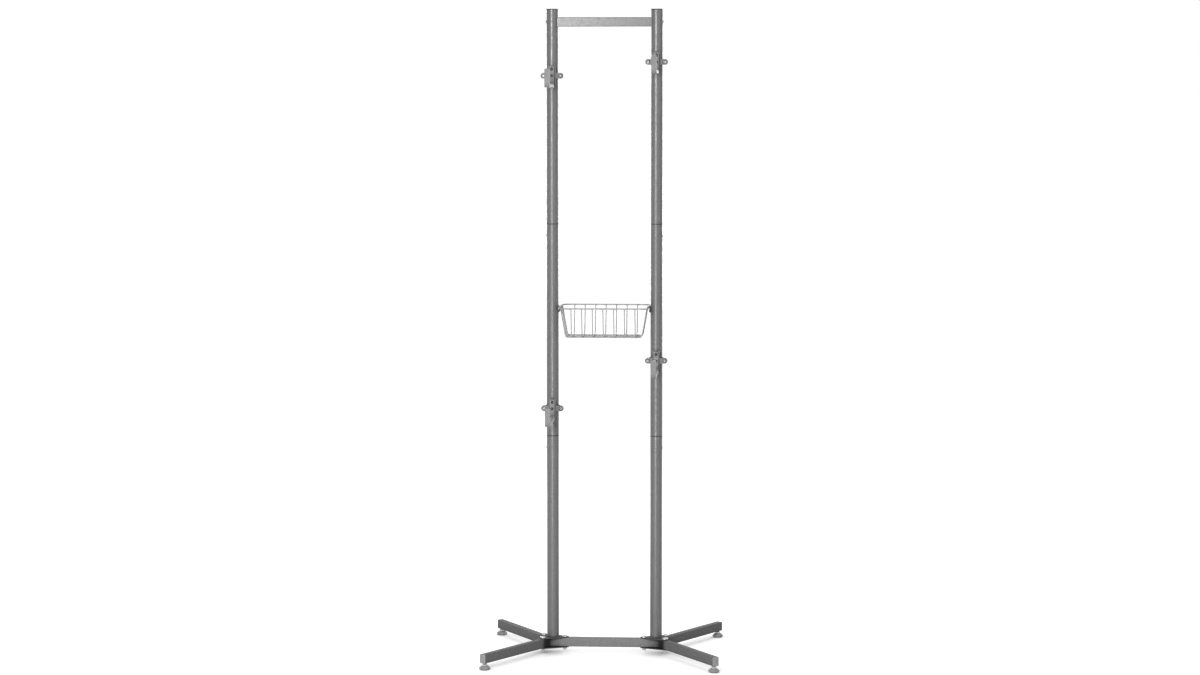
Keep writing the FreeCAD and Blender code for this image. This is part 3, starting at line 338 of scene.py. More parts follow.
PAINT = HammeredPaint(
    "hammered_silver_paint", "silver_paint", (0.134, 0.134, 0.136), 0.28, metallic=0.06, specular=0.38,
)
# A lighter copy of the column paint: painted light where the arms catch light from above.
LIT_ARM_PAINT = HammeredPaint(
    "lit_hammered_arm_paint", "silver_paint", (0.19, 0.19, 0.193), 0.46, specular=0.25, dimple=0.0032,
)
# One paint in two tones: the crossbar's lighter copy is painted light on its front, the legs' darker copy is
# painted shade on their sides.
LIT_BAR_PAINT = JointPaint("lit_hammered_bar_paint", "silver_paint", (0.205, 0.205, 0.207), 0.55, specular=0.15)
SHADED_LEG_PAINT = JointPaint("shaded_hammered_leg_paint", "silver_paint", (0.132, 0.132, 0.134), 0.55, specular=0.15)
# A darker copy of the paint: painted shade on the plates, which sit in shadow at the joints.
SHADED_PLATE_PAINT = HammeredPaint("shaded_plate_paint", "silver_paint", (0.075, 0.075, 0.076), 0.55, specular=0.15)
# The welds' near-black colour is painted shade round the column's foot.
SHADE_DARK_WELD = PlatedSteel("shade_dark_weld_bead", "silver_paint", (0.03, 0.03, 0.031), 0.55, metallic=0.2)
# The seam band's near-black colour is painted shade for the gap between tube ends.
SEAM_SHADE = PlatedSteel("seam_shade_line", "silver_paint", (0.022, 0.022, 0.023), 0.6, specular=0.15)
WIRE = CoatedWire("grey_coated_wire", "basket_wire", (0.27, 0.27, 0.273), 0.36, metallic=0.1, specular=0.4)
ZINC = PlatedSteel("bright_zinc_plate", "zinc_steel", (0.52, 0.52, 0.53), 0.4, metallic=0.7)
DULL_ZINC = PlatedSteel("dull_zinc_plate", "zinc_steel", (0.22, 0.22, 0.225), 0.4, metallic=0.9)
DARK_STEEL = PlatedSteel(
    "black_oxide_steel", "zinc_steel", (0.03, 0.03, 0.032), 0.42, metallic=0.4, specular=0.3,
)
PLAIN_STEEL = PlatedSteel("plain_steel", "plain_steel", (0.45, 0.45, 0.45), 0.45, metallic=1.0)
BLACK_PLASTIC = Moulded("black_moulded_plastic", "black_plastic", (0.016, 0.016, 0.017), 0.5, specular=0.3)
GREY_PLASTIC = Moulded("grey_moulded_plastic", "grey_plastic", (0.24, 0.24, 0.243), 0.5, specular=0.35)
RUBBER = Moulded(
    "light_grey_rubber", "grey_rubber", (0.30, 0.30, 0.30), 0.72, specular=0.25, grain=0.0011, relief=0.5,
)


def polar(radius: float, turn: float) -> tuple[float, float]:
    """Give the point at a radius and an angle in radians."""
    return (radius * math.cos(turn), radius * math.sin(turn))


def arc(middle: tuple[float, float], radius: float, start: float, sweep: float, steps: int) -> list[Point]:
    """Give the points along an arc, one more than its steps, with its angles in degrees."""
    points = [polar(radius, math.radians(start + sweep * step / steps)) for step in range(steps + 1)]
    return [(middle[0] + first, middle[1] + second) for first, second in points]


def wave(radius_at: Callable[[float], float], height: float, count: int) -> Loop:
    """Make a loop round Z whose radius changes with the angle in radians."""
    turns = [math.tau * index / count for index in range(count)]
    return [Vector((*polar(radius_at(turn), turn), height)) for turn in turns]


def ring(radius: float, height: float, count: int = 48) -> Loop:
    """Make a round loop about Z."""
    return wave(lambda turn: radius, height, count)


def hexagon(flats: float, height: float, limit: float = 1.0, count: int = 48) -> Loop:
    """Make a six-sided loop about Z, cut back to a circle of the limit's radius."""
    def radius(turn: float) -> float:
        """Give the distance to the flat or the limit."""
        off = (turn + math.pi / 6) % (math.pi / 3) - math.pi / 6
        return min(flats / 2 / math.cos(off), limit)

    return wave(radius, height, count)


def cross(reach: float, web: float, height: float, count: int = 48) -> Loop:
    """Make a loop about Z in the shape of a cross recess."""
    def radius(turn: float) -> float:
        """Give the distance to the end or the side of the nearest arm."""
        off = abs((turn + math.pi / 4) % (math.pi / 2) - math.pi / 4)
        return min(reach, web / max(math.sin(off), 1e-4)) if off > 1e-4 else reach

    return wave(radius, height, count)


def smooth_mesh(name: str, work: bmesh.types.BMesh, sharp: float | None = None) -> Mesh:
    """Turn a work mesh into a smooth one, with edges above an angle in degrees kept sharp."""
    mesh = bpy.data.meshes.new(name)
    work.to_mesh(mesh)
    work.free()
    mesh.shade_smooth()
    if sharp is not None:
        mesh.set_sharp_from_angle(angle=math.radians(sharp))
    return mesh


def loft(name: str, loops: Sequence[Loop], sharp: float = 38.0, endless: bool = False) -> Mesh:
    """Skin a row of loops of equal count into a closed mesh.

    Args:
        name: The mesh's name.
        loops: The loops, from one closed end to the other.
        sharp: The angle in degrees above which an edge stays sharp.
        endless: Whether the last loop meets the first, as in a ring, in place of closed ends.

    Returns:
        The mesh, smooth but for its sharp edges.
    """
    work = bmesh.new()
    rows = [[work.verts.new(point) for point in loop] for loop in loops]
    count = len(rows[0])
    for low, high in zip(rows, rows[1:] + rows[:1] if endless else rows[1:]):
        for index in range(count):
            after = (index + 1) % count
            work.faces.new((low[index], low[after], high[after], high[index]))
    if not endless:
        work.faces.new(list(reversed(rows[0])))
        work.faces.new(rows[-1])
    bmesh.ops.recalc_face_normals(work, faces=work.faces)
    return smooth_mesh(name, work, sharp)


def joined(name: str, parts: Iterable[Mesh], sharp: float) -> Mesh:
    """Join meshes into one and remove them."""
    work = bmesh.new()
    for part in parts:
        work.from_mesh(part)
        bpy.data.meshes.remove(part)
    return smooth_mesh(name, work, sharp)


def stand(name: str, data: bpy.types.ID) -> bpy.types.Object:
    """Make an object and link it into the scene."""
    made = bpy.data.objects.new(name, data)
    bpy.context.scene.collection.objects.link(made)
    return made


def piece(name: str, mesh: Mesh, finish: Finish, body: str, *nodes: str) -> bpy.types.Object:
    """Put a finished mesh into the scene as a piece of the rack.

    Args:
        name: The piece's name.
        mesh: Its mesh, already where it belongs.
        finish: Its finish, if the mesh has no material yet.
        body: The body that it moves with.
        *nodes: The source's nodes that it stands for.

    Returns:
        The new object.
    """
    if not mesh.materials:
        mesh.materials.append(finish.material())
    made = stand(name, mesh)
    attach(made, body)
    if nodes:
        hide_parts(*nodes)
    LOG.info("piece %s on %s: %d faces", name, body, len(mesh.polygons))
    return made


def dress(finish: Finish, nodes: Iterable[str]) -> None:
    """Give nodes of the source a finish."""
    for name in nodes:
        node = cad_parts[name]
        if not node.material_slots:
            node.data.materials.append(finish.material())
        for place in node.material_slots:
            place.material = finish.material()
        LOG.info("dressed %s with %s", name, finish.name)


@dataclass(frozen=True)
class Screw:
    """A round-headed screw, in millimetres; the hole is measured across its flats or from tip to tip."""

    head: float
    rise: float
    shank: float
    length: float
    recess: Recess = Recess.NONE
    hole: float = 0.0

    def mesh(self, name: str) -> Mesh:
        """Make the screw, pointing down -Z, its head seated at the origin."""
        half, rise, shank, length, size = (
            part * MM for part in (self.head / 2, self.rise, self.shank, self.length, self.hole)
        )
        loops = [ring(shank * 0.36, -length), ring(shank * 0.5, -length + shank * 0.14)]
        loops.append(ring(shank * 0.5, 0.0))
        loops += [ring(half * 0.985, 0.0), ring(half, rise * 0.08), ring(half, rise * 0.24)]
        steps, sweep = 6, math.radians(72)
        for step in range(1, steps + 1):
            turn = step / steps * sweep
            level = 0.24 + 0.76 * math.sin(turn) / math.sin(sweep)
            loops.append(ring(half * (0.45 + 0.55 * math.cos(turn)), rise * level))
        floor = rise * 0.25
        if self.recess is Recess.HEXAGON:
            loops += [ring(size * 0.62, rise), hexagon(size, rise * 0.94), hexagon(size, floor)]
        elif self.recess is Recess.CROSS:
            loops += [cross(size * 0.5, size * 0.11, rise * 0.96), cross(size * 0.42, size * 0.09, floor)]
            loops.append(cross(size * 0.2, size * 0.06, floor * 0.6))
        else:
            loops.append(ring(half * 0.2, rise))
        return loft(name, loops)


PAN_HEAD, PAN_RISE = 9.0, 2.5
BUTTON_HEAD, BUTTON_RISE = 10.5, 3.3
SEAM_SCREW = Screw(PAN_HEAD, PAN_RISE, 5.0, 5.6, Recess.CROSS, 5.2)
HANGER_SCREW = Screw(PAN_HEAD, PAN_RISE, 5.0, 8.0, Recess.CROSS, 5.2)
ARM_FOOT_SCREW = Screw(PAN_HEAD, PAN_RISE, 4.9, 13.1, Recess.HEXAGON, 3.4)
CROSSBAR_BOLT = Screw(BUTTON_HEAD, BUTTON_RISE, 6.0, 60.1, Recess.HEXAGON, 4.0)
CLAMP_BOLT = Screw(BUTTON_HEAD, BUTTON_RISE, 5.9, 13.0, Recess.HEXAGON, 4.0)
BASE_BOLT = Screw(19.0, 4.6, 7.9, 45.0)


def nut_mesh(name: str, flats: float, height: float, bore: float) -> Mesh:
    """Make a chamfered hexagon nut that hangs below the origin, its bore closed by the screw's end."""
    corner = flats / 2 / math.cos(math.pi / 6)
    loops = [ring(bore / 2, 0.0), ring(flats * 0.475, 0.0), hexagon(flats, -height * 0.07, corner)]
    loops += [hexagon(flats, -height * 0.9, corner), hexagon(flats, -height * 0.985, flats * 0.5)]
    loops += [ring(flats * 0.46, -height), ring(bore * 0.58, -height), ring(bore / 2, -height * 0.93)]
    return loft(name, loops, 30.0)


def threaded_mesh(name: str, radius: float, low: float, high: float, pitch: float, depth: float) -> Mesh:
    """Make a threaded rod along Z between two heights, with its radius measured over the thread."""
    count, loops_a_turn = 24, 6
    steps = int((high - low) / pitch * loops_a_turn)
    end_radius = radius - 1.4 * depth
    loops = [ring(end_radius, low, count)]
    for step in range(1, steps):
        height = low + (high - low) * step / steps
        fade = min(1.0, (height - low) / pitch, (high - height) / pitch)

        def flank(turn: float, level: float = height, share: float = fade) -> float:
            """Give the radius on the thread at an angle."""
            phase = (level / pitch - turn / math.tau) % 1.0
            ridge = 1.0 - abs(2.0 * phase - 1.0)
            return radius - depth * (1.0 - ridge * share)

        loops.append(wave(flank, height, count))
    loops.append(ring(end_radius, high, count))
    return loft(name, loops, 60.0)


def bead_mesh(name: str, length: float, width: float, height: float) -> Mesh:
    """Make one low drop of weld, flattened about the origin, from its sizes in millimetres."""
    work = bmesh.new()
    bmesh.ops.create_icosphere(work, subdivisions=2, radius=0.5)
    for vertex in work.verts:
        vertex.co = Vector((vertex.co.x * length, vertex.co.y * width, vertex.co.z * 2 * height)) * MM
    return smooth_mesh(name, work)


@dataclass
class GeometryTool:
    """A geometry tree with named inputs that is run on a start mesh and baked into a plain one."""

    name: str
    sockets: Sequence[tuple[str, str]]
    tree: bpy.types.NodeTree = field(init=False)
    graph: Graph = field(init=False)
    start: Node = field(init=False)

    def __post_init__(self) -> None:
        """Start the tree with its inputs and its output."""
        self.tree = bpy.data.node_groups.new(self.name, "GeometryNodeTree")
        for name, kind in [("Geometry", "NodeSocketGeometry"), *self.sockets]:
            self.tree.interface.new_socket(name, in_out="INPUT", socket_type=kind)
        self.tree.interface.new_socket("Geometry", in_out="OUTPUT", socket_type="NodeSocketGeometry")
        self.graph = Graph(self.tree)
        self.start = self.graph.add("NodeGroupInput")

    def given(self, name: str) -> Socket:
        """Find the socket that carries one of the tree's inputs."""
        return self.start.outputs[name]

    def end(self, geometry: Socket) -> None:
        """Realise the instances, give them their material and close the tree."""
        real = self.graph.add("GeometryNodeRealizeInstances", Geometry=geometry)
        done = self.graph.add(
            "GeometryNodeSetMaterial", Geometry=real.outputs[0], Material=self.given("Material"),
        )
        self.graph.add("NodeGroupOutput", Geometry=done.outputs[0])

    def bake(self, name: str, mesh: Mesh, **values: object) -> Mesh:
        """Run the tree on a mesh.

        Args:
            name: The name of the result.
            mesh: The start mesh, such as the points to fill.
            **values: Values of the tree's inputs, by name.

        Returns:
            The result as a plain mesh.
        """
        holder = stand(name + "_start", mesh)
        modifier = holder.modifiers.new(self.name, "NODES")
        modifier.node_group = self.tree
        for item in self.tree.interface.items_tree:
            if item.item_type == "SOCKET" and item.in_out == "INPUT" and item.name in values:
                modifier[item.identifier] = values[item.name]
        graph = bpy.context.evaluated_depsgraph_get()
        baked = bpy.data.meshes.new_from_object(holder.evaluated_get(graph))
        baked.name = name
        bpy.data.objects.remove(holder)
        return baked


def spot_tool() -> GeometryTool:
    """Make the tree that sets a copy of one form on each point, aimed along the point's own direction."""
    tool = GeometryTool("set_on_spots", (
        ("Form", "NodeSocketObject"), ("Size", "NodeSocketFloat"), ("Spread", "NodeSocketFloat"),
        ("Seed", "NodeSocketInt"), ("Material", "NodeSocketMaterial"),
    ))
    graph = tool.graph
    form = graph.add("GeometryNodeObjectInfo", Object=tool.given("Form"))
    aim = graph.add("GeometryNodeInputNamedAttribute", {"data_type": "FLOAT_VECTOR"}, Name="aim")
    turn = graph.add("FunctionNodeAlignRotationToVector", {"axis": "Z"}, Vector=aim.outputs["Attribute"])
    scale = graph.add("FunctionNodeRandomValue", {"data_type": "FLOAT"}, Seed=tool.given("Seed"))
    for slot, operation in ((2, "SUBTRACT"), (3, "ADD")):
        graph.feed(scale, slot, graph.math(operation, tool.given("Size"), tool.given("Spread")))
    points = graph.add("GeometryNodeMeshToPoints", Mesh=tool.given("Geometry"))
    placed = graph.add(
        "GeometryNodeInstanceOnPoints", Points=points.outputs[0], Instance=form.outputs["Geometry"],
        Rotation=turn.outputs[0], Scale=scale.outputs[1],
    )
    tool.end(placed.outputs[0])
    return tool


def wire_tool() -> GeometryTool:
    """Make the tree that rounds a line's corners, gives it a wire's thickness and repeats it in a row."""
    tool = GeometryTool("bend_wire_row", (
        ("Wire", "NodeSocketFloat"), ("Bend", "NodeSocketFloat"), ("Pitch", "NodeSocketVector"),
        ("Count", "NodeSocketInt"), ("Material", "NodeSocketMaterial"),
    ))
    graph = tool.graph
    line = graph.add("GeometryNodeMeshToCurve", Mesh=tool.given("Geometry"))
    soft = graph.add(
        "GeometryNodeFilletCurve", {"mode": "POLY"}, Curve=line.outputs[0], Count=8,
        Radius=tool.given("Bend"), Limit_Radius=True,
    )
    section = graph.add(
        "GeometryNodeCurvePrimitiveCircle", {"mode": "RADIUS"}, Resolution=14, Radius=tool.given("Wire"),
    )
    skin = graph.add(
        "GeometryNodeCurveToMesh", Curve=soft.outputs[0], Profile_Curve=section.outputs[0], Fill_Caps=True,
    )
    smooth = graph.add("GeometryNodeSetShadeSmooth", Geometry=skin.outputs[0])
    row = graph.add("GeometryNodeMeshLine", Count=tool.given("Count"), Offset=tool.given("Pitch"))
    placed = graph.add("GeometryNodeInstanceOnPoints", Points=row.outputs[0], Instance=smooth.outputs[0])
    tool.end(placed.outputs[0])
    return tool


def spots_mesh(name: str, spots: Sequence[Spot]) -> Mesh:
    """Make a mesh of points from places in millimetres, each with the way that a form's +Z takes there."""
    mesh = bpy.data.meshes.new(name)
    mesh.from_pydata([tuple(Vector(spot[:3]) * MM) for spot in spots], [], [])
    aims = mesh.attributes.new("aim", "FLOAT_VECTOR", "POINT")
    for index, spot in enumerate(spots):
        aims.data[index].vector = spot[3]
    return mesh


@dataclass
class Workshop:
    """The geometry tools, shared by all the sub-assemblies."""

    spots: GeometryTool = field(default_factory=spot_tool)
    wires: GeometryTool = field(default_factory=wire_tool)

    def repeat(
        self, name: str, form: Mesh, spots: Sequence[Spot], finish: Finish, body: str, *nodes: str,
        spread: float = 0.0,
    ) -> bpy.types.Object:
        """Set copies of a form on spots, as one piece.

        Args:
            name: The piece's name.
            form: The mesh to repeat.
            spots: Where the copies go.
            finish: Their finish.
            body: The body that they move with.
            *nodes: The source's nodes that they stand for.
            spread: How much their size varies, as a share.

        Returns:
            One object with all the copies.
        """
        pattern = stand(name + "_form", form)
        baked = self.spots.bake(
            name, spots_mesh(name + "_spots", spots), Form=pattern, Size=1.0, Spread=spread, Seed=7,
            Material=finish.material(),
        )
        bpy.data.objects.remove(pattern)
        return piece(name, baked, finish, body, *nodes)


@dataclass
class Columns:
    """The two columns, their caps, the top crossbar and the screws at the seams."""

    radius: float = 20.0
    foot_height: float = 55.0
    seat: float = 19.6
    seams: tuple[float, float] = (729.5, 1430.5)
    screw_drop: float = 38.5
    bar_height: float = 2091.5
    weld_count: int = 46

    def build(self, shop: Workshop) -> None:
        """Dress the tubes and add the weld rings and the screws."""
        for side, _ in SIDES:
            dress(PAINT, [f"column_{part}_{side}" for part in ("lower", "middle", "upper")])
        dress(PAINT, ["top_crossbar"])
        dress(PLAIN_STEEL, ["crossbar_plugs"])
        dress(BLACK_PLASTIC, ["column_caps"])
        self.weld_rings(shop)
        self.seam_rings(shop)
        outer = HALF_SPACING + self.seat
        screws = [
            (sign * outer, 0, height - self.screw_drop, (sign, 0, 0))
            for _, sign in SIDES for height in self.seams
        ]
        bolts = [(sign * outer, 0, self.bar_height, (sign, 0, 0)) for _, sign in SIDES]
        shop.repeat("seam_screw_set", SEAM_SCREW.mesh("pan_screw"), screws, ZINC, "frame", "seam_screws")
        button = CROSSBAR_BOLT.mesh("crossbar_button")
        shop.repeat("crossbar_bolt_set", button, bolts, ZINC, "frame", "crossbar_bolts")

    def seam_rings(self, shop: Workshop) -> None:
        """Draw a near-black band as painted shade for the shadowed gap where the ends of the column's
        sections meet.
        """
        inside, outside = self.radius - 0.4, self.radius + 0.1
        band = loft("seam_band", [
            ring(radius * MM, height * MM, 64) for radius, height in (
                (inside, -1.2), (self.radius, -1.2), (outside, -1.0),
                (outside, 1.0), (self.radius, 1.2), (inside, 1.2),
            )
        ], endless=True)
        spots = [(sign * HALF_SPACING, 0, height, UP) for _, sign in SIDES for height in self.seams]
        shop.repeat("column_seam_rings", band, spots, SEAM_SHADE, "frame")

    def weld_rings(self, shop: Workshop) -> None:
        """Lay a ring of weld drops round the foot of each column, coloured near black as painted shade at the
        column's foot.
        """
        spots = []
        for _, sign in SIDES:
            for index in range(self.weld_count):
                turn = math.tau * index / self.weld_count
                x, y = polar(self.radius + 0.4, turn)
                x += sign * HALF_SPACING
                spots.append((x, y, self.foot_height + 0.6, (*polar(1.0, turn), 1.0)))
        drop = bead_mesh("weld_drop", 4.2, 3.6, 1.3)
        shop.repeat("column_foot_welds", drop, spots, SHADE_DARK_WELD, "frame", spread=0.12)


@dataclass
class Base:
    """The legs, the base crossbar, the plates and the bolts through them."""

    bolt_x: float = 202.5
    bolt_y: float = 31.0
    bar_bolt_x: float = 132.0
    plate_top: float = 55.0
    plate_low: float = 19.0
    leg_middle: float = 37.0
    # Along the leg past its foot, width, height and corner of each loop of an end cap.
    cap_profile: tuple[tuple[float, float, float, float], ...] = (
        (7.0, 18.8, 26.8, 0.6), (10.0, 18.8, 26.8, 0.6), (10.0, 21.4, 29.4, 2.2), (10.3, 22.0, 30.0, 2.5),
        (11.1, 22.0, 30.0, 2.5), (11.7, 21.2, 29.2, 2.2), (12.0, 19.6, 27.6, 1.6),
    )

    def build(self, shop: Workshop) -> None:
        """Dress the legs and plates, and add the bolts, nuts and end caps."""
        dress(SHADED_LEG_PAINT, [f"leg_{end}_{side}" for end, _ in ENDS for side, _ in SIDES])
        dress(LIT_BAR_PAINT, ["base_crossbar"])
        plates = [f"base_plate_{level}_{side}" for level in ("top", "bottom") for side, _ in SIDES]
        dress(SHADED_PLATE_PAINT, plates)
        dress(ZINC, ["leg_nuts"])
        holes = ((self.bolt_x, -self.bolt_y), (self.bolt_x, self.bolt_y), (self.bar_bolt_x, 0.0))
        bolts, nuts = (
            [(sign * x, y, height, UP) for _, sign in SIDES for x, y in holes]
            for height in (self.plate_top, self.plate_low)
        )
        shop.repeat("base_bolt_set", BASE_BOLT.mesh("dome_bolt"), bolts, ZINC, "frame", "base_bolts")
        nut = nut_mesh("base_nut_form", 13.0 * MM, 6.5 * MM, 8.1 * MM)
        shop.repeat("base_nut_set", nut, nuts, ZINC, "frame", "base_nuts")
        self.end_caps()

    def end_caps(self) -> None:
        """Make the caps in the outer ends of the legs: a softly crowned plate with a plug."""
        run = Vector((FOOT_X - self.bolt_x, FOOT_Y - self.bolt_y))
        angle = math.atan2(run.y, run.x)
        loops = [self.cap_loop(run.length + x, *sizes) for x, *sizes in self.cap_profile]
        parts = []
        for _, fore in ENDS:
            for _, sign in SIDES:
                part = loft("leg_cap_part", loops)
                turn = fore * angle if sign > 0 else math.pi - fore * angle
                bolt = Vector((sign * self.bolt_x, fore * self.bolt_y, self.leg_middle))
                part.transform(Matrix.Translation(bolt * MM) @ Matrix.Rotation(turn, 4, "Z"))
                parts.append(part)
        piece("leg_end_caps", joined("leg_end_caps", parts, 35.0), GREY_PLASTIC, "frame", "leg_caps")

    @staticmethod
    def cap_loop(x: float, width: float, height: float, corner: float) -> Loop:
        """Make a rounded rectangle that faces +X.

        Args:
            x: Its distance along the leg, in millimetres.
            width: Its width.
            height: Its height.
            corner: The radius of its corners.

        Returns:
            Its points, in metres.
        """
        points = []
        for right, up, start in ((1, 1, 0), (-1, 1, 90), (-1, -1, 180), (1, -1, 270)):
            middle = (right * (width / 2 - corner), up * (height / 2 - corner))
            points += [Vector((x, y, z)) * MM for y, z in arc(middle, corner, start, 90, 5)]
        return points


@dataclass
class Feet:
    """The four levelling feet: a flared pad and a threaded stem with a hexagon."""

    thread_pitch: float = 1.25
    thread_depth: float = 0.55
    collar_flats: float = 17.0
    # Radius and height: the narrow sole, the flare, the rim bead, the groove, the dome and the stem's socket.
    pad_profile: tuple[tuple[float, float], ...] = (
        (13.3, 0.3), (13.8, 0.0), (14.4, 0.0), (15.0, 0.4), (15.9, 1.7), (17.1, 3.4), (18.2, 4.9),
        (18.8, 5.6), (19.0, 6.2), (18.9, 6.8), (18.4, 7.2), (17.8, 7.3), (17.4, 7.15), (17.0, 7.5),
        (16.5, 8.4), (15.6, 9.9), (14.2, 11.4), (12.5, 12.8), (11.3, 13.6), (10.5, 13.95), (9.9, 14.0),
        (4.4, 14.0), (4.1, 13.7), (4.05, 13.2), (4.05, 4.0),
    )

    def build(self) -> None:
        """Make the pads and the stems in place of the plain ones."""
        for end, fore in ENDS:
            for side, sign in SIDES:
                where = f"{end}_{side}"
                place = Matrix.Translation(Vector((sign * FOOT_X, fore * FOOT_Y, 0.0)) * MM)
                pad = self.pad_mesh("foot_pad_shape_" + where)
                pad.transform(place)
                piece("foot_base_" + where, pad, GREY_PLASTIC, "foot_" + where, "foot_pad_" + where)
                stem = self.stem_mesh("foot_stem_shape_" + where)
                stem.transform(place)
                piece("foot_screw_" + where, stem, ZINC, "stem_" + where, "foot_stem_" + where)

    def pad_mesh(self, name: str) -> Mesh:
        """Turn the pad about its axis."""
        return loft(name, [ring(radius * MM, height * MM, 64) for radius, height in self.pad_profile], 50.0)

    def stem_mesh(self, name: str) -> Mesh:
        """Join the threaded rod and its hexagon."""
        rod = threaded_mesh(
            name + "_rod", 4.0 * MM, 4.2 * MM, 44.0 * MM, self.thread_pitch * MM, self.thread_depth * MM,
        )
        flats = self.collar_flats * MM
        collar = loft(name + "_collar", [
            ring(3.2 * MM, 14.02 * MM), ring(8.1 * MM, 14.02 * MM), hexagon(flats, 14.5 * MM),
            hexagon(flats, 18.4 * MM), ring(8.0 * MM, 19.0 * MM), ring(3.2 * MM, 19.0 * MM),
        ], 30.0)
        return joined(name, (rod, collar), 35.0)


@dataclass
class Basket:
    """The wire basket and the two hangers that carry its rim."""

    rim_height: float = 1157.0
    floor_height: float = 1063.0
    rim_x: float = 146.5
    rim_y: float = 102.0
    floor_x: float = 125.0
    floor_y: float = 69.0
    rim_wire: float = 2.5
    mesh_wire: float = 1.75
    pitch: float = 34.9
    across: int = 7
    along: int = 4
    bend: float = 8.0
    screw_x: float = 149.3
    screw_height: float = 1144.8

    def build(self, shop: Workshop) -> None:
        """Bend the wires, weld them and hang the basket."""
        inset = self.rim_wire + self.mesh_wire
        depth = self.rim_height - self.floor_height
        cross_top = self.rim_y - inset / math.cos(math.atan2(self.rim_y - inset - self.floor_y, depth))
        long_floor = self.floor_height - 2 * self.mesh_wire
        long_slant = math.atan2(self.rim_x - inset - self.floor_x, self.rim_height - long_floor)
        long_top = self.rim_x - inset / math.cos(long_slant)
        cross_half = ((self.floor_y, self.floor_height), (cross_top, self.rim_height))
        self.wire_row(shop, "cross_wires", cross_half, (self.pitch, 0), self.across)
        long_half = ((self.floor_x, long_floor), (long_top, self.rim_height))
        self.wire_row(shop, "long_wires", long_half, (0, self.pitch), self.along)
        dress(WIRE, ["basket_rim"])
        self.weld_spots(shop, long_floor)
        dress(BLACK_PLASTIC, ["basket_hanger_left", "basket_hanger_right"])
        screws = [(sign * self.screw_x, 0, self.screw_height, (-sign, 0, 0)) for _, sign in SIDES]
        pan = HANGER_SCREW.mesh("hanger_pan")
        shop.repeat("hanger_screw_set", pan, screws, DARK_STEEL, "frame", "hanger_screws")

    def wire_row(self, shop: Workshop, name: str, half: tuple[Point, Point], step: Point, count: int) -> None:
        """Bend one wire down, along the floor and up again, and repeat it.

        Args:
            shop: The geometry tools.
            name: The name of the wires, as in the source's node.
            half: The corner at the floor and the end at the rim, as distance from the middle and height.
            step: The way from one wire to the next.
            count: The number of wires.
        """
        (foot, floor), (top, rim) = half
        first = -self.pitch * (count - 1) / 2
        profile = ((-top, rim), (-foot, floor), (foot, floor), (top, rim))
        line = [(first, reach, z) if step[0] else (reach, first, z) for reach, z in profile]
        start = bpy.data.meshes.new(name + "_line")
        points = [tuple(part * MM for part in point) for point in line]
        start.from_pydata(points, [(0, 1), (1, 2), (2, 3)], [])
        bent = f"basket_{name}_bent"
        made = shop.wires.bake(
            bent, start, Wire=self.mesh_wire * MM, Bend=self.bend * MM,
            Pitch=tuple(part * MM for part in (*step, 0)), Count=count, Material=WIRE.material(),
        )
        piece(bent, made, WIRE, "basket", "basket_" + name)

    def weld_spots(self, shop: Workshop, long_floor: float) -> None:
        """Put a small weld where two wires cross; the lengthwise ones have a floor height of their own."""
        xs, ys = (
            [self.pitch * (index - (count - 1) / 2) for index in range(count)]
            for count in (self.across, self.along)
        )
        middle, rim = (self.floor_height + long_floor) / 2, self.rim_height
        inner_x, inner_y = self.rim_x - self.rim_wire, self.rim_y - self.rim_wire
        spots = []
        for x in xs:
            spots += [(x, y, middle, UP) for y in ys]
            spots += [(x, sign * inner_y, rim, (0, sign, 0)) for _, sign in SIDES]
        spots += [(sign * inner_x, y, rim, (sign, 0, 0)) for y in ys for _, sign in SIDES]
        nugget = bead_mesh("weld_nugget", 3.3, 3.3, 0.9)
        shop.repeat("basket_welds", nugget, spots, WIRE, "basket", spread=0.1)


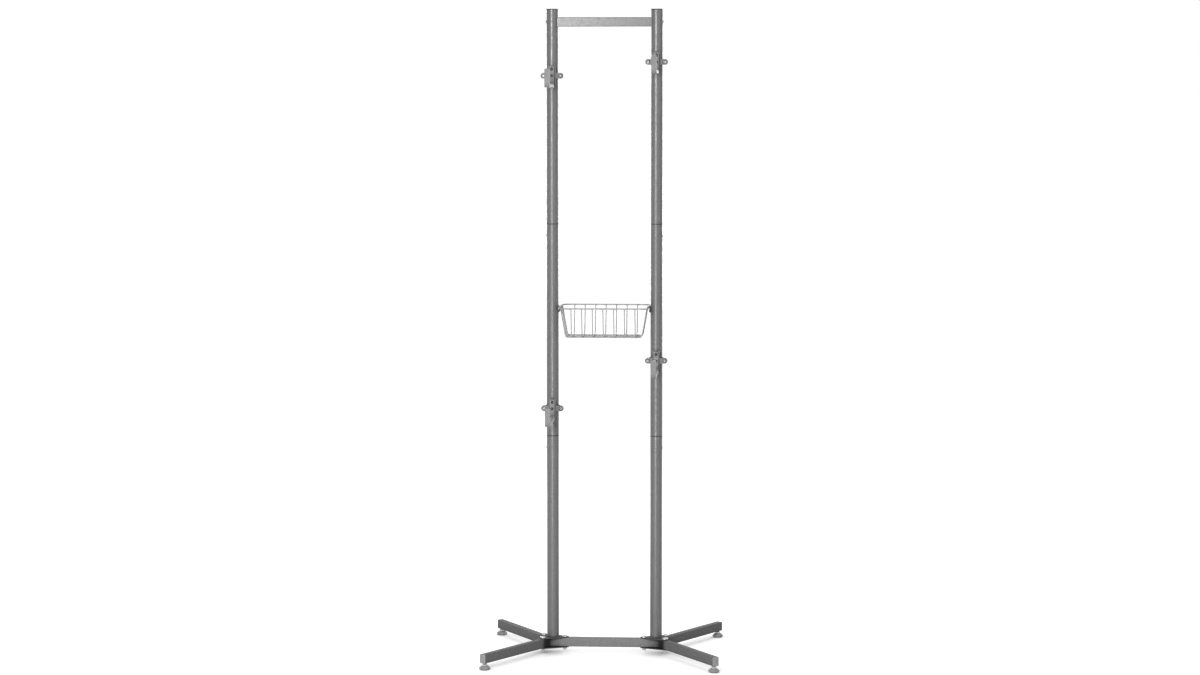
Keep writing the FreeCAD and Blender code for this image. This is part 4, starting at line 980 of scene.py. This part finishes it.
@dataclass
class Arms:
    """The four arms: bar, rubber cradle, clamp and screws; heights are those of the clamp screws."""

    ear_offset: float = 28.0
    ear_front: float = -25.0
    foot_front: float = -34.0
    screw_rise: float = 21.5
    half_width: float = 8.0
    pad_low: float = -29.0
    pad_seat: float = -26.0
    pad_top: float = 18.0
    pad_rear: float = -41.3
    pad_front: float = -231.0
    pad_bend: float = 8.0
    pad_chamfer: float = 0.8
    flat_start: float = -60.0
    flat_step: float = 18.0
    seat_radius: float = 42.0
    seat_y: float = -187.0
    seat_z: float = 16.0
    places: tuple[tuple[str, int, float], ...] = (
        ("upper_left", -1, 1916.0), ("upper_right", 1, 1961.0),
        ("lower_left", -1, 821.0), ("lower_right", 1, 981.0),
    )

    def build(self, shop: Workshop) -> None:
        """Dress each arm and add its cradle and screws."""
        button = CLAMP_BOLT.mesh("clamp_button")
        pan = ARM_FOOT_SCREW.mesh("foot_pan")
        forward = (0, -1, 0)
        for where, sign, height in self.places:
            body = "arm_" + where
            dress(LIT_ARM_PAINT, [f"{part}_{where}" for part in ("arm_bar", "clamp_front", "clamp_rear")])
            x = sign * HALF_SPACING
            bolts = [(x + side * self.ear_offset, self.ear_front, height, forward) for _, side in SIDES]
            shop.repeat("clamp_bolts_" + where, button, bolts, DULL_ZINC, body, "arm_screws_" + where)
            screws = [(x, self.foot_front, height + rise, forward) for rise in (0.0, self.screw_rise)]
            shop.repeat("foot_screws_" + where, pan, screws, DARK_STEEL, body)
            self.cradle(where, x, height)

    def pad_outline(self) -> list[Point]:
        """Draw the side of the rubber pad.

        Returns:
            Its corners in millimetres, as distance from the column and height over the clamp screws.
        """
        rear, front = self.pad_rear, self.pad_front
        low, seat, top = self.pad_low, self.pad_seat, self.pad_top
        outline = [(rear, low), (rear, seat - self.pad_chamfer), (rear - self.pad_chamfer, seat)]
        outline += [(self.flat_start - self.flat_step * index, seat) for index in range(8)]
        outline += arc((self.seat_y, self.seat_z), self.seat_radius, 270, -90, 12)
        outline += [(front + 1.8, top - 0.4), (front + 1.3, top), (front, top)]
        return outline + arc((front + self.pad_bend, low + self.pad_bend), self.pad_bend, 180, 90, 6)

    def cradle(self, where: str, x: float, height: float) -> None:
        """Make the rubber pad with its hollow seat, softly rounded along its edges.

        Args:
            where: Which arm.
            x: The arm's middle, in millimetres.
            height: The height of its clamp screws.
        """
        mesh = loft("cradle_shape_" + where, [
            [Vector((x + side, y, height + z)) * MM for y, z in self.pad_outline()]
            for side in (-self.half_width, self.half_width)
        ], 40.0)
        made = piece("cradle_rubber_" + where, mesh, RUBBER, "arm_" + where, "cradle_pad_" + where)
        soft = made.modifiers.new("soft_edges", "BEVEL")
        soft.width = 0.7 * MM
        soft.segments = 3
        soft.limit_method = "ANGLE"
        soft.angle_limit = math.radians(40)


@dataclass
class Studio:
    """The floor, the lamps and the camera."""

    camera_place: tuple[float, float, float] = (0.5584, -9.7210, 1.8957)
    camera_target: tuple[float, float, float] = (-0.015, 0.0, 1.055)
    lens: float = 88.79
    floor_half: float = 30.0
    near_glow: float = 0.72
    shade_reach: float = 0.12
    shade_left: float = 0.2
    aim_limit: float = 1.3
    dim_level: float = 0.15

    def build(self) -> None:
        """Set up the camera, the floor, the lamps and the world."""
        self.camera()
        self.floor()
        self.lamps()
        self.world()
        view = bpy.context.scene.view_settings
        view.view_transform = "Standard"

    @staticmethod
    def looking(place: Vector, target: Vector) -> Matrix:
        """Place a camera or a lamp so that it looks at a point."""
        return Matrix.Translation(place) @ (target - place).to_track_quat("-Z", "Y").to_matrix().to_4x4()

    def camera(self) -> None:
        """Make the camera of the photograph."""
        data = bpy.data.cameras.new("camera")
        data.lens = self.lens
        data.sensor_width = 36.0
        data.sensor_fit = "HORIZONTAL"
        data.clip_end = 100.0
        camera = stand("camera", data)
        camera.matrix_world = self.looking(Vector(self.camera_place), Vector(self.camera_target))
        bpy.context.scene.camera = camera

    def floor(self) -> None:
        """Make the pale floor, white to the camera but for the object's shadow and a painted contact shadow
        under the rack.
        """
        mesh = bpy.data.meshes.new("floor")
        far = self.floor_half
        corners = [(-far, -far, 0), (far, -far, 0), (far, far, 0), (-far, far, 0)]
        mesh.from_pydata(corners, [], [(0, 1, 2, 3)])
        made = bpy.data.materials.new("pale_floor")
        graph = fresh_graph(made)
        place = graph.add("ShaderNodeTexCoord").outputs["Object"]
        tint = graph.mix(graph.noise(place, 6.0, 2.0), (0.8, 0.8, 0.8, 1), (0.84, 0.84, 0.84, 1))
        matt = graph.add("ShaderNodeBsdfPrincipled", Base_Color=tint, Roughness=0.9, Specular_IOR_Level=0.0)
        away = graph.add("ShaderNodeVectorMath", {"operation": "LENGTH"})
        graph.feed(away, 0, place)
        lift = graph.ramp(away.outputs["Value"], 0.5, 3.2, self.near_glow, 1.0)
        # Ambient occlusion dims the floor's glow under the rack: a painted contact shadow.
        painted_contact_shadow = graph.add("ShaderNodeAmbientOcclusion", {"samples": 16}, Distance=self.shade_reach)
        lift = graph.math("MULTIPLY", lift, graph.ramp(painted_contact_shadow.outputs["AO"], 0.35, 0.97, self.shade_left, 1.0))
        strength = graph.math("MULTIPLY", lift, graph.seen())
        glow = graph.add("ShaderNodeEmission", Color=WHITE, Strength=strength)
        both = graph.feed_in_order(graph.add("ShaderNodeAddShader"), (matt.outputs[0], glow.outputs[0]))
        graph.add("ShaderNodeOutputMaterial", Surface=both.outputs[0])
        mesh.materials.append(made)
        floor = stand("floor", mesh)

    def lamps(self) -> None:
        """Hang the soft boxes: two strips at the front, two at the right and two broad ones behind."""
        for name, place, width, height, power in (
            ("high_strip", (-0.83, -3.91, 2.1), 0.25, 1.2, 130.0),
            ("low_strip", (-0.66, -3.95, 0.4), 0.25, 0.7, 48.0),
            ("right_high", (2.57, -3.06, 2.7), 0.25, 1.0, 12.0),
            ("right_strip", (3.53, -1.88, 2.4), 0.25, 1.4, 8.0),
            ("back_left", (-2.3, 4.1, 1.8), 1.2, 2.0, 95.0),
            ("back_right", (2.3, 4.1, 1.8), 1.2, 2.0, 95.0),
        ):
            data = bpy.data.lights.new(name, "AREA")
            data.shape = "RECTANGLE"
            data.size = width
            data.size_y = height
            data.energy = power
            target = Vector((0.0, 0.0, min(place[2], self.aim_limit)))
            stand(name, data).matrix_world = self.looking(Vector(place), target)

    def world(self) -> None:
        """Surround the scene with dim light, and with white for the camera."""
        world = bpy.data.worlds.new("studio")
        bpy.context.scene.world = world
        graph = fresh_graph(world)
        dim = graph.add("ShaderNodeBackground", Color=WHITE, Strength=self.dim_level)
        white = graph.add("ShaderNodeBackground", Color=WHITE, Strength=1.0)
        both = graph.add("ShaderNodeMixShader")
        graph.feed_in_order(both, (graph.seen(), dim.outputs[0], white.outputs[0]))
        graph.add("ShaderNodeOutputWorld", Surface=both.outputs[0])


def main() -> None:
    """Build the studio, then the rack's sub-assemblies in order, logging each piece as it is made."""
    logging.basicConfig(level=logging.INFO, format="%(name)s: %(message)s")
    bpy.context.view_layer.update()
    Studio().build()
    shop = Workshop()
    Columns().build(shop)
    Base().build(shop)
    Feet().build()
    Basket().build(shop)
    Arms().build(shop)


if __name__ == "__main__":
    main()
